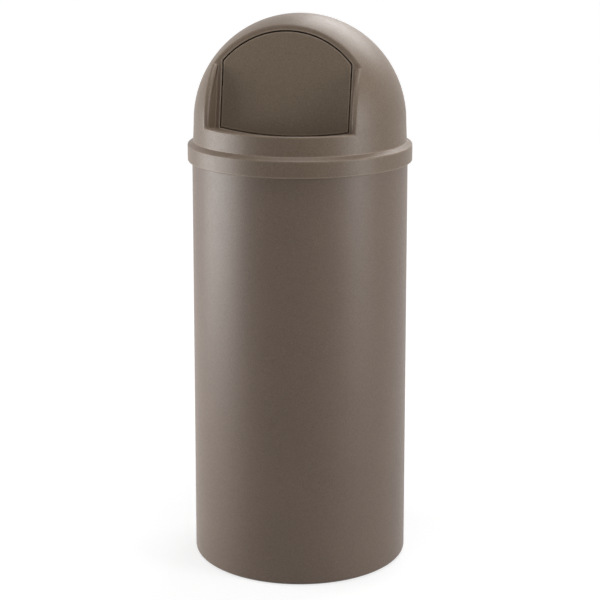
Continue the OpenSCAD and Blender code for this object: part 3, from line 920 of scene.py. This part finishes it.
@dataclass
class PocketSkin:
    """One skin of the pocket: the face that is seen, or the hidden one inside the hood."""

    bm: BMesh
    dome: Dome
    sphere: float
    depth: float
    lowered: float
    arch_round: float = 0.0
    side_round: float = 0.0
    sill_round: float = 0.0
    steps: int = 0
    side_shift: float = 0.0
    margin: float = 12.0
    nearness: float = 1.9
    snap: float = 0.2
    floor_rows: int = 10
    side_tries: int = 6
    foot_tries: int = 12

    @property
    def side(self) -> float:
        """Distance of the side walls of this skin from the middle of the dome."""
        return self.dome.side_distance + self.side_shift

    @property
    def sill_angle(self) -> float:
        """Angle over the horizon, at the dome's middle, where the sill rounding starts."""
        dome = self.dome
        lean = math.cos(dome.floor_slope) * dome.sill_lift - math.sin(dome.floor_slope) * dome.sill_radius
        return dome.floor_slope + math.asin((lean - self.sill_round) / (self.sphere - self.sill_round))

    @property
    def sill_trim(self) -> float:
        """Height over the dome's middle at which the dome is cut along the sill."""
        if self.sill_round > 0:
            return self.sphere * math.sin(self.sill_angle)
        return self.dome.floor_height(self.sphere, 0) - self.lowered - self.dome.middle.z

    def trim(self, edge: MouthEdge) -> tuple[Vector, float]:
        """Returns the plane, as direction and distance, where the dome is cut for an edge."""
        if edge is MouthEdge.ARCH:
            reach = self.dome.pocket_distance - self.depth - self.arch_round
            return -self.dome.into, reach * self.sphere / (self.sphere - self.arch_round)
        if edge is MouthEdge.SILL:
            return Vector((0, 0, 1)), self.sill_trim
        sign = 1 if edge is MouthEdge.RIGHT else -1
        reach = self.side + self.side_round
        return self.dome.side_normal(sign), reach * self.sphere / (self.sphere - self.side_round)

    def overshoot(self, spot: Vector, edge: MouthEdge) -> float:
        """Returns how far a spot, seen from the dome's middle, lies inside the cut of an edge."""
        normal, distance = self.trim(edge)
        beyond = spot.dot(normal) - distance
        return beyond if edge in (MouthEdge.ARCH, MouthEdge.SILL) else -beyond

    def owns(self, spot: Vector) -> bool:
        """Tells whether a spot, seen from the dome's middle, lies on this skin of the hood."""
        reach = spot.length if spot.z > 0 else math.hypot(spot.x, spot.y)
        return abs(reach - self.sphere) < self.nearness

    def near_faces(self, margin: float) -> list[BMFace]:
        """Lists the faces of this skin within a margin of the mouth."""
        found = []
        for face in self.bm.faces:
            spot = face.calc_center_median() - self.dome.middle
            if self.owns(spot) and all(self.overshoot(spot, edge) > -margin for edge in MouthEdge):
                found.append(face)
        return found

    def cut_mouth(self) -> list[BMVert]:
        """Cuts the mouth out of the dome.

        Returns:
            The loop of vertices round the mouth.
        """
        bm = self.bm
        for edge in MouthEdge:
            normal, distance = self.trim(edge)
            faces = self.near_faces(self.margin)
            geom = list(dict.fromkeys(item for face in faces for item in (*face.verts, *face.edges))) + faces
            spot = self.dome.middle + normal * distance
            bmesh.ops.bisect_plane(bm, geom=geom, dist=self.snap, plane_co=spot, plane_no=normal)
        bmesh.ops.delete(bm, geom=self.near_faces(0.0), context="FACES")
        rim = [edge for edge in bm.edges if edge.is_boundary and self.owns(edge.verts[0].co - self.dome.middle)]
        loop = [rim[0].verts[0]]
        edge = rim[0]
        while (ahead := edge.other_vert(loop[-1])) is not loop[0]:
            loop.append(ahead)
            edge = next(item for item in ahead.link_edges if item.is_boundary and item is not edge)
        return loop

    def corner(self, side: MouthEdge, other: MouthEdge) -> Vector:
        """Returns the point of the dome, seen from its middle, where two cuts meet."""
        first, first_reach = self.trim(side)
        second, second_reach = self.trim(other)
        line = first.cross(second)
        foot = (second.cross(line) * first_reach + line.cross(first) * second_reach) / line.length_squared
        way = line.normalized()
        run = math.sqrt(max(self.sphere**2 - foot.length_squared, 0))
        ends = (foot + way * run, foot - way * run)
        key = (lambda spot: spot.z) if other is MouthEdge.ARCH else (lambda spot: -spot.y)
        return max(ends, key=key)

    def edges_of(self, loop: Sequence[BMVert]) -> tuple[list[BMVert], list[list[MouthEdge]]]:
        """Sorts the loop by its four edges.

        Args:
            loop: The loop round the mouth.

        Returns:
            The loop, starting at the upper right corner and going down, and the edges of each vertex.
        """
        pairs = (
            (MouthEdge.RIGHT, MouthEdge.ARCH),
            (MouthEdge.RIGHT, MouthEdge.SILL),
            (MouthEdge.LEFT, MouthEdge.SILL),
            (MouthEdge.LEFT, MouthEdge.ARCH),
        )
        middle = self.dome.middle
        found = []
        for pair in pairs:
            spot = self.corner(*pair)
            found.append(min(range(len(loop)), key=lambda i: (loop[i].co - middle - spot).length))
        order = list(loop[found[0]:]) + list(loop[: found[0]])
        places = [(index - found[0]) % len(loop) for index in found]
        if places[1] > places[2]:
            order = [order[0]] + order[:0:-1]
            places = [0] + [len(loop) - place for place in places[1:]]
        around = (MouthEdge.RIGHT, MouthEdge.SILL, MouthEdge.LEFT, MouthEdge.ARCH)
        kinds: list[list[MouthEdge]] = [[] for _ in order]
        for edge, first, last in zip(around, places, [*places[1:], len(loop)]):
            for index in range(first, last + 1):
                kinds[index % len(order)].append(edge)
        return order, kinds

    def rounding(self, spot: Vector, edge: MouthEdge, share: float) -> Vector:
        """Finds a point on the rounding of an edge.

        Args:
            spot: The place along the edge, seen from the dome's middle.
            edge: Which edge.
            share: 0 on the dome, 1 on the pocket.

        Returns:
            The point, seen from the dome's middle.
        """
        if edge is MouthEdge.SILL:
            outward = Vector((spot.x, spot.y, 0)).normalized()
            radius = self.sill_round
            rise = self.sill_angle
            first = outward * math.cos(rise) + Vector((0, 0, math.sin(rise)))
            slope = self.dome.floor_slope
            last = Vector((0, 0, math.cos(slope))) - outward * math.sin(slope)
            ball = first * (self.sphere - radius)
        else:
            normal, _ = self.trim(edge)
            arch = edge is MouthEdge.ARCH
            radius = self.arch_round if arch else self.side_round
            reach = self.dome.pocket_distance - self.depth - radius if arch else self.side + radius
            outward = (spot - normal * spot.dot(normal)).normalized()
            ball = normal * reach + outward * math.sqrt((self.sphere - radius) ** 2 - reach**2)
            first = ball.normalized()
            last = normal if arch else -normal
        return ball + between(first, last, share) * radius

    def on_side(self, point: Vector, sign: int) -> Vector:
        """Moves a point across until it lies on a side wall and on the floor."""
        normal = self.dome.side_normal(sign)
        spot = point.copy()
        for _ in range(self.side_tries):
            spot.z = self.dome.floor_height(spot.x, spot.y) - self.lowered
            gap = self.side - (spot - self.dome.middle).dot(normal)
            spot.x += gap / normal.x
        return spot

    def floor_foot(self, across: float) -> Vector:
        """Returns the point where the floor meets the back wall."""
        spot = self.dome.wall_point(across, 0, self.depth)
        for _ in range(self.foot_tries):
            height = self.dome.floor_height(across, spot.y) - self.lowered
            spot += self.dome.up_wall * (height - spot.z) / self.dome.up_wall.z
        return spot

    def wall_corner(self, sign: int) -> float:
        """Returns how far across the back wall meets a side wall."""
        reach = self.side + (self.dome.pocket_distance - self.depth) * math.sin(self.dome.flare)
        return sign * reach / math.cos(self.dome.flare)

    def line(self, opening: Sequence[BMVert]) -> None:
        """Cuts the mouth, rounds it, and adds the side walls, the floor and the back wall.

        Args:
            opening: The loop of the door opening on this face of the back wall.
        """
        chain, kinds = self.edges_of(self.cut_mouth())
        middle = self.dome.middle
        spots = [vert.co - middle for vert in chain]
        for step in range(self.steps + 1) if self.steps else ():
            targets = []
            for spot, edges in zip(spots, kinds):
                points = [self.rounding(spot, edge, step / self.steps) for edge in edges]
                targets.append(middle + sum(points, Vector()) / len(points))
            if step:
                chain = grow_chain(self.bm, chain, targets, True)
                continue
            for vert, target in zip(chain, targets):
                vert.co = target
        self.seat_corners(chain, kinds)
        self.close_pocket(chain, kinds, opening)

    def seat_corners(self, chain: Sequence[BMVert], kinds: Sequence[Sequence[MouthEdge]]) -> None:
        """Moves the inner corners of the mouth onto the creases of the pocket."""
        for vert, edges in zip(chain, kinds):
            if len(edges) < 2:
                continue
            sign = 1 if MouthEdge.RIGHT in edges else -1
            if MouthEdge.SILL in edges:
                vert.co = self.on_side(vert.co, sign)
            else:
                up = (vert.co - self.dome.wall_point(0, 0, self.depth)).dot(self.dome.up_wall)
                vert.co = self.dome.wall_point(self.wall_corner(sign), up, self.depth)

    def close_pocket(
        self, chain: Sequence[BMVert], kinds: Sequence[Sequence[MouthEdge]], opening: Sequence[BMVert]
    ) -> None:
        """Adds the floor, the side walls and the back wall.

        Args:
            chain: The loop on the pocket side of the rounding.
            kinds: The edges of each vertex of the loop.
            opening: The loop of the door opening.
        """
        bm = self.bm
        spans = {}
        for edge in MouthEdge:
            members = [index for index, edges in enumerate(kinds) if edge in edges]
            if edge is MouthEdge.ARCH:
                members = [index for index in members if index] + [0]
            spans[edge] = [chain[index] for index in members]
        sill = spans[MouthEdge.SILL]
        starts = [vert.co.copy() for vert in sill]
        width = starts[0].x - starts[-1].x
        right, left = self.wall_corner(1), self.wall_corner(-1)
        ends = [self.floor_foot(right + (left - right) * (starts[0].x - spot.x) / width) for spot in starts]
        row = list(sill)
        columns = [[row[0]], [row[-1]]]
        for step in range(1, self.floor_rows + 1):
            share = step / self.floor_rows
            targets = [first.lerp(last, share) for first, last in zip(starts, ends)]
            for target in targets[1:-1]:
                target.z = self.dome.floor_height(target.x, target.y) - self.lowered
            if step < self.floor_rows:
                targets[0] = self.on_side(targets[0], 1)
                targets[-1] = self.on_side(targets[-1], -1)
            row = grow_chain(bm, row, targets, False)
            columns[0].append(row[0])
            columns[1].append(row[-1])
        for column, edge in zip(columns, (MouthEdge.RIGHT, MouthEdge.LEFT)):
            span = spans[edge]
            top = span[0] if edge is MouthEdge.RIGHT else span[-1]
            crease = edge_between(column[-1], top, bm)
            rim = chain_edges(bm, span, False) + chain_edges(bm, column, False) + [crease]
            bmesh.ops.edgeloop_fill(bm, edges=rim)
        creases = [edge_between(row[0], chain[0], bm), edge_between(row[-1], spans[MouthEdge.LEFT][-1], bm)]
        rim = chain_edges(bm, spans[MouthEdge.ARCH], False) + chain_edges(bm, row, False) + creases
        rim += chain_edges(bm, opening, True)
        bmesh.ops.triangle_fill(bm, use_beauty=True, use_dissolve=False, edges=rim)


@dataclass
class Hood:
    """Lift-off hood: band, shoulder and dome with the front pocket and the door opening."""

    dome: Dome
    band_radius: float = 189.5
    band_bottom: float = 698.5
    band_top: float = 726.0
    ledge: float = 721.7
    shoulder_radius: float = 180.1
    shoulder_top: float = 731.4
    band_top_round: float = 2.5
    band_bottom_round: float = 1.5
    arch_round: float = 4.6
    side_round: float = 5.6
    sill_round: float = 2.3
    opening_round: float = 1.1
    back_round: float = 0.5
    pad_low: float = 33.5
    pad_high: float = 73.5
    pad_inner_reach: float = 3.3
    pad_outer_reach: float = 21.0
    pad_room: float = 0.7
    pad_clear: float = 0.2
    pad_steps: int = 8
    round_steps: int = 7
    around: int = 256
    along: int = 56
    skirt_rows: int = 6

    def skirt(self, radius: float, foot: float) -> list[tuple[float, float, float]]:
        """Lists corners down the slightly spreading skirt below the dome.

        Args:
            radius: Radius of the skin where the skirt starts.
            foot: Height where the skirt ends.

        Returns:
            Corners as (across, up, rounding), without the last.
        """
        spread = self.shoulder_radius - self.dome.radius
        rise = self.dome.middle.z
        shares = [step / self.skirt_rows for step in range(self.skirt_rows)]
        return [(radius + spread * share, rise - (rise - foot) * share, 0) for share in shares]

    def section(self) -> Outline:
        """Returns the section from the top down the outside and back up the inside."""
        dome = self.dome
        rise = dome.middle.z
        inner = dome.radius - dome.wall
        outside = arc((0, rise), dome.radius, 90, 0, self.along)[:-1]
        inside = arc((0, rise), inner, 0, 90, self.along)[1:]
        band = rounded([
            *self.skirt(dome.radius, self.shoulder_top),
            (self.shoulder_radius, self.shoulder_top, 1.0),
            (self.band_radius, self.band_top, self.band_top_round),
            (self.band_radius, self.band_bottom, self.band_bottom_round),
            (self.band_radius - dome.wall, self.band_bottom, 1.0),
            (self.band_radius - dome.wall, self.ledge, 1.0),
            (self.shoulder_radius - dome.wall, self.ledge, 0.8),
            *self.skirt(inner, self.ledge)[::-1],
        ])
        return outside + band + inside

    def opening_loops(self, bm: BMesh) -> tuple[list[BMVert], list[BMVert]]:
        """Makes the rounded edge of the door opening through the back wall.

        Args:
            bm: The mesh of the hood.

        Returns:
            The loop on the front face and the loop on the hidden face.
        """
        path = quarter_round(self.opening_round, 5)
        path += [(grow, self.dome.wall - short) for short, grow in quarter_round(self.back_round, 3)]
        return self.dome.skin_opening(bm, path)

    def build(self, finishes: Finishes) -> None:
        """Builds the hood shell and its bracket pads.

        Args:
            finishes: The materials.
        """
        dome = self.dome
        bm = spun(self.section(), self.around)
        front, back = self.opening_loops(bm)
        drop = dome.wall / math.cos(dome.floor_slope)
        hidden = PocketSkin(bm, dome, dome.radius - dome.wall, dome.wall, drop, side_shift=dome.wall)
        hidden.line(back)
        rounds = (self.arch_round, self.side_round, self.sill_round)
        seen = PocketSkin(bm, dome, dome.radius, 0.0, 0.0, *rounds, self.round_steps)
        seen.line(front)
        Piece("hood_shell", "hood_unit", Slot.HOOD, ("hood",)).publish(bm, finishes)
        self.build_pads(finishes)

    def build_pads(self, finishes: Finishes) -> None:
        """Builds the two pads on the hidden side that carry the hinge brackets.

        Args:
            finishes: The materials.
        """
        dome = self.dome
        bm = bmesh.new()
        low, high = self.pad_low, self.pad_high
        inner = dome.pocket_half + self.pad_inner_reach
        outer = dome.bracket_offset + self.pad_outer_reach
        skin = dome.radius - dome.wall
        reach = math.sqrt(skin**2 - (dome.pocket_distance - dome.wall) ** 2) - self.pad_room
        start, end = math.degrees(math.acos(outer / reach)), math.degrees(math.asin(high / reach))
        bend = arc((0, 0), reach, start, end, self.pad_steps)
        for sign in (1, -1):
            outline = [(sign * across, up) for across, up in ((inner, low), (outer, low), *bend, (inner, high))]
            extrude_plate(bm, [outline], dome.wall_point, self.pad_clear, dome.wall)
        Piece("bracket_pads", "hood_unit", Slot.HOOD).publish(bm, finishes)


# ---- push door and hinge ----


@dataclass
class PushDoor:
    """Arched push door: a pan with a rim, a stop flange, ribs and two hinge lugs."""

    dome: Dome
    gap: float = 2.2
    recess: float = 0.8
    plate: float = 3.0
    depth: float = 6.7
    rim: float = 2.5
    face_round: float = 0.8
    flange: float = 2.0
    flange_reach: float = 4.6
    flange_top: float = 49.385
    rib_offset: float = 42.0
    rib_low: float = 6.0
    rib_over: float = 30.0
    seat_near: float = 1.5
    seat_far: float = 6.5
    seat_depth: float = 5.4
    seat_drop: tuple[float, float] = (24.0, 6.0)
    wide_bar_drop: tuple[float, float] = (56.0, 53.5)
    short_bar_drop: tuple[float, float] = (20.0, 17.5)
    spring_room: float = 25.0
    lug_width: float = 8.0
    eye_radius: float = 7.5
    bore_radius: float = 4.52
    ease: tuple[float, float] = (0.5, 0.15)
    fillet: tuple[float, float] = (0.8, 0.25)
    flange_lap: float = 0.3
    flange_sink: float = 0.03
    rib_sink: float = 0.2
    rib_proud: float = 2.0
    rib_edge: float = 0.5
    seat_edge: float = 0.4
    bar_margin: float = 3.0
    bar_step: float = 1.0
    bm: BMesh = field(default_factory=bmesh.new)

    def pan(self) -> None:
        """Builds the pan: face, outer wall, rim and the face behind."""
        back = self.recess + self.depth
        behind = self.recess + self.plate
        path = [(inset, self.recess + depth) for inset, depth in quarter_round(self.face_round, 5)]
        run, bend = self.ease
        path += [(0, back - run), (bend, back - bend), (run, back)]
        path += [(self.rim - run, back), (self.rim - bend, back - bend), (self.rim, back - run)]
        run, bend = self.fillet
        path += [(self.rim, behind + run), (self.rim + bend, behind + bend), (self.rim + run, behind)]
        for rim in self.dome.skin_opening(self.bm, [(-self.gap - inset, depth) for inset, depth in path]):
            bmesh.ops.edgeloop_fill(self.bm, edges=chain_edges(self.bm, rim, True))

    def stop_flange(self) -> None:
        """Builds the flange that stops the door against the back of the pocket wall."""
        outer = self.below(self.dome.opening(self.flange_reach))
        inner = self.below(self.dome.opening(-self.gap - self.rim + self.flange_lap))
        outline = outer + inner[::-1]
        back = self.recess + self.depth - self.flange_sink
        extrude_plate(self.bm, [outline], self.dome.wall_point, back - self.flange, back)

    def below(self, outline: Outline) -> Outline:
        """Cuts an outline off at the flange's top.

        Args:
            outline: Points counterclockwise from the lower left corner, upright at both sides.

        Returns:
            The lower part, from the left top down, round and up to the right top.
        """
        start = max(index for index, point in enumerate(outline) if point[1] >= self.flange_top) + 1
        low = [point for point in outline[start:] + outline[:start] if point[1] < self.flange_top]
        return [(low[0][0], self.flange_top), *low, (low[-1][0], self.flange_top)]

    def bars(self) -> None:
        """Builds the ribs, the spring seats and the hinge lugs."""
        bm, dome = self.bm, self.dome
        wall = dome.wall_matrix()
        behind = self.recess + self.plate - self.rib_sink
        rib_back = self.recess + self.depth + self.rib_proud
        hinge = dome.hinge_rise
        lug_end = dome.bracket_offset - self.spring_room
        for sign in (1, -1):
            near, far = sorted((sign * self.rib_offset, sign * (self.rib_offset + self.rim)))
            rib_foot = self.rib_low - dome.opening_drop
            block(bm, wall, (near, behind, rib_foot), (far, rib_back, hinge + self.rib_over), self.rib_edge)
            seat = sorted((sign * (lug_end + self.seat_near), sign * (lug_end + self.seat_far)))
            low, high = (hinge - drop for drop in self.seat_drop)
            block(bm, wall, (seat[0], behind, low), (seat[1], behind + self.seat_depth, high), self.seat_edge)
        bar_back = rib_back - self.bar_step
        wide, short = dome.opening_half - self.bar_margin, self.rib_offset + self.bar_step
        for reach, drops in ((wide, self.wide_bar_drop), (short, self.short_bar_drop)):
            low, high = (hinge - drop for drop in drops)
            block(bm, wall, (-reach, behind, low), (reach, bar_back, high), self.rib_edge)
        eye = arc((dome.hinge_depth, hinge), self.eye_radius, -90, 90, 20)
        outline = [(behind, hinge - self.eye_radius), *eye, (behind, hinge + self.eye_radius)]
        bore = arc((dome.hinge_depth, hinge), self.bore_radius, 0, 360, 32)[:-1]

        def sideways(depth: float, up: float, across: float) -> Vector:
            """Places a point of a plate that stands across the door."""
            return dome.wall_point(across, up, depth)

        for sign in (1, -1):
            low, high = sorted((sign * (lug_end - self.lug_width), sign * lug_end))
            extrude_plate(bm, [outline, bore], sideways, low, high)

    def build(self, finishes: Finishes) -> None:
        """Builds the door.

        Args:
            finishes: The materials.
        """
        self.pan()
        self.stop_flange()
        self.bars()
        Piece("door_panel", "door", Slot.DOOR, ("push_door",)).publish(self.bm, finishes)


@dataclass
class DoorSprings:
    """Two torsion springs on the hinge rod, each one unbroken wire with two legs."""

    dome: Dome
    wire: float = 0.8
    coil: float = 5.0
    near: float = 22.0
    far: float = 3.5
    turns: float = 8.5
    short_leg: float = 7.5
    long_leg: float = 19.0
    sides: int = 12
    steps_per_turn: int = 24
    sharp: float = 60.0

    def wire_of(self, sign: int) -> BMesh:
        """Bends one spring.

        Args:
            sign: 1 for the right spring, -1 for the left.

        Returns:
            Its mesh.
        """
        dome = self.dome
        bm = bmesh.new()
        axis = dome.wall_point(0, dome.hinge_rise, dome.hinge_depth)
        start = dome.bracket_offset - self.near
        foot = axis + Vector((sign * start, 0, 0)) - dome.into * self.coil - dome.up_wall * self.short_leg
        matrix = Matrix.Translation(foot) @ Matrix.Rotation(-dome.tilt, 4, "X")
        ring = bmesh.ops.create_circle(
            bm, cap_ends=True, radius=self.wire, segments=self.sides, matrix=matrix
        )["verts"]
        face = self.push(bm, ring[0].link_faces[0], dome.up_wall * self.short_leg)
        steps = round(self.turns * self.steps_per_turn)
        verts = list(face.verts)
        edges = list(face.edges)
        bmesh.ops.delete(bm, geom=[face], context="FACES_ONLY")
        spun = bmesh.ops.spin(
            bm,
            geom=verts + edges,
            cent=axis,
            axis=(1, 0, 0),
            dvec=(sign * (self.near - self.far) / steps, 0, 0),
            angle=-math.tau * self.turns,
            steps=steps,
            use_merge=False,
            use_duplicate=False,
            use_normal_flip=False,
        )["geom_last"]
        last = [item for item in spun if isinstance(item, BMEdge)]
        cap = bmesh.ops.edgeloop_fill(bm, edges=last)["faces"][0]
        self.push(bm, cap, -dome.up_wall * self.long_leg)
        bmesh.ops.holes_fill(bm, edges=[edge for edge in bm.edges if edge.is_boundary], sides=0)
        return bm

    @staticmethod
    def push(bm: BMesh, face: BMFace, way: Vector) -> BMFace:
        """Extrudes an end face straight along a leg and returns the new end face."""
        grown = bmesh.ops.extrude_discrete_faces(bm, faces=[face])["faces"][0]
        bmesh.ops.translate(bm, verts=list(grown.verts), vec=way)
        return grown

    def build(self, finishes: Finishes) -> None:
        """Builds both springs.

        Args:
            finishes: The materials.
        """
        for sign, side in ((1, "right"), (-1, "left")):
            piece = Piece(f"{side}_spring_wire", "hood_unit", Slot.SPRING, (f"spring_{side}",), self.sharp)
            piece.publish(self.wire_of(sign), finishes)


class KeptNodes:
    """CAD nodes whose shape is right and that only need their finish."""

    slots = {
        "handle_ears": Slot.PLATED,
        "ear_rivets": Slot.PLATED,
        "handle_left": Slot.HANDLE,
        "handle_right": Slot.HANDLE,
        "bracket_left": Slot.PLATED,
        "bracket_right": Slot.PLATED,
        "bracket_screws": Slot.PLATED,
        "hinge_rod": Slot.ROD,
        "rod_nuts": Slot.PLATED,
        "door_bushings": Slot.BUSHING,
        "door_bumpers": Slot.BUMPER,
    }

    def build(self, finishes: Finishes) -> None:
        """Dresses each kept node.

        Args:
            finishes: The materials.
        """
        for name, slot in self.slots.items():
            finishes.dress(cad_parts[name], slot)
            log.info("%s: kept with finish %s", name, slot.value)


# ---- studio ----


@dataclass(frozen=True)
class Softbox:
    """A soft lamp, placed by its turn from the camera's side of the object."""

    name: str
    turn: float
    height: float
    distance: float
    width: float
    tall: float
    power: float
    aim: float = 0.5


@dataclass
class Studio:
    """Plain pale floor, soft lamps, a white surround and the camera."""

    camera_distance: float = 2825.3
    camera_height: float = 1193.9
    camera_turn: float = 16.24
    camera_pitch: float = 14.737
    focal_share: float = 1689.1 / 600
    sensor: float = 36.0
    ambient: float = 0.06
    floor_grey: float = 0.33
    near_glow: float = 0.7
    far_glow: float = 0.92
    near_reach: float = 0.4
    far_reach: float = 2.5
    floor_roughness: float = 0.9
    floor_half: float = 40.0
    floor_drop: float = 0.0004
    sight: float = 200.0
    lamps: list[Softbox] = field(default_factory=lambda: [
        Softbox("left_softbox", -89, 0.45, 2.13, 1.8, 0.9, 46, 0.35),
        Softbox("right_softbox", 61, 0.85, 2.13, 0.8, 1.5, 30, 0.4),
        Softbox("back_softbox", 150, 2.2, 1.7, 1.7, 1.0, 29, 0.85),
        Softbox("top_softbox", 0, 2.8, 0.35, 1.2, 1.1, 28, 0.9),
    ])

    def camera(self) -> None:
        """Places the camera at the viewing angle of the photograph."""
        data = bpy.data.cameras.new("view")
        data.sensor_width = self.sensor
        data.lens = self.focal_share * self.sensor
        data.clip_end = self.sight
        camera = bpy.data.objects.new("view", data)
        turn = math.radians(self.camera_turn)
        reach = self.camera_distance * MM
        camera.location = (reach * math.sin(turn), -reach * math.cos(turn), self.camera_height * MM)
        camera.rotation_euler = (math.radians(90 - self.camera_pitch), 0, turn)
        bpy.context.scene.collection.objects.link(camera)
        bpy.context.scene.camera = camera

    def light(self, box: Softbox) -> None:
        """Hangs one softbox.

        Args:
            box: Its place, size and power.
        """
        data = bpy.data.lights.new(box.name, "AREA")
        data.shape = "RECTANGLE"
        data.size = box.width
        data.size_y = box.tall
        data.energy = box.power
        lamp = bpy.data.objects.new(box.name, data)
        turn = math.radians(self.camera_turn + box.turn)
        lamp.location = (box.distance * math.sin(turn), -box.distance * math.cos(turn), box.height)
        way = Vector((0, 0, box.aim)) - Vector(lamp.location)
        lamp.rotation_euler = way.to_track_quat("-Z", "Y").to_euler()
        bpy.context.scene.collection.objects.link(lamp)

    def surround(self) -> None:
        """Makes the surround white to the eye and only a faint light."""
        world = bpy.data.worlds.new("white_surround")
        bpy.context.scene.world = world
        world.use_nodes = True
        nodes = Nodes(world.node_tree)
        backdrop = nodes.tree.nodes["Background"]
        nodes.feed(backdrop.inputs["Color"], (1, 1, 1, 1))
        strength = nodes.spread(nodes.seen_directly(), self.ambient, 1.0, 0.0, 1.0)
        nodes.feed(backdrop.inputs["Strength"], strength)

    def floor(self) -> None:
        """Lays the pale floor, which glows for the eye alone and more so away from the object."""
        bm = bmesh.new()
        bmesh.ops.create_grid(bm, x_segments=8, y_segments=8, size=self.floor_half)
        bmesh.ops.translate(bm, verts=bm.verts, vec=(0, 0, -self.floor_drop))
        mesh = bpy.data.meshes.new("floor")
        bm.to_mesh(mesh)
        bm.free()
        floor = bpy.data.objects.new("floor", mesh)
        bpy.context.scene.collection.objects.link(floor)
        bench = Bench("pale_floor")
        reach = bench.add("ShaderNodeVectorMath", {"operation": "LENGTH"}, Vector=bench.place)
        fade = bench.spread(
            reach.outputs["Value"], self.near_glow, self.far_glow, self.near_reach, self.far_reach
        )
        material = bench.finish(
            Base_Color=(*[self.floor_grey] * 3, 1),
            Roughness=self.floor_roughness,
            Emission_Color=(1, 1, 1, 1),
            Emission_Strength=bench.spread(bench.seen_directly(), 0.0, fade, 0.0, 1.0),
        )
        mesh.materials.append(material)

    def build(self) -> None:
        """Sets up the camera, the surround, the floor and the lamps."""
        bpy.context.scene.view_settings.view_transform = "Standard"
        self.camera()
        self.surround()
        self.floor()
        for box in self.lamps:
            self.light(box)
        log.info("studio: %d lamps", len(self.lamps))


def main() -> None:
    """Builds the studio and every sub-assembly."""
    logging.basicConfig(level=logging.INFO, format="%(name)s: %(message)s")
    dome = Dome(overall_height=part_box("hood")[1].z / MM)
    finishes = Finishes()
    Studio().build()
    for part in (Container(), Liner(), Hood(dome), PushDoor(dome), DoorSprings(dome), KeptNodes()):
        part.build(finishes)
        log.info("built %s", type(part).__name__)


if __name__ == "__main__":
    main()
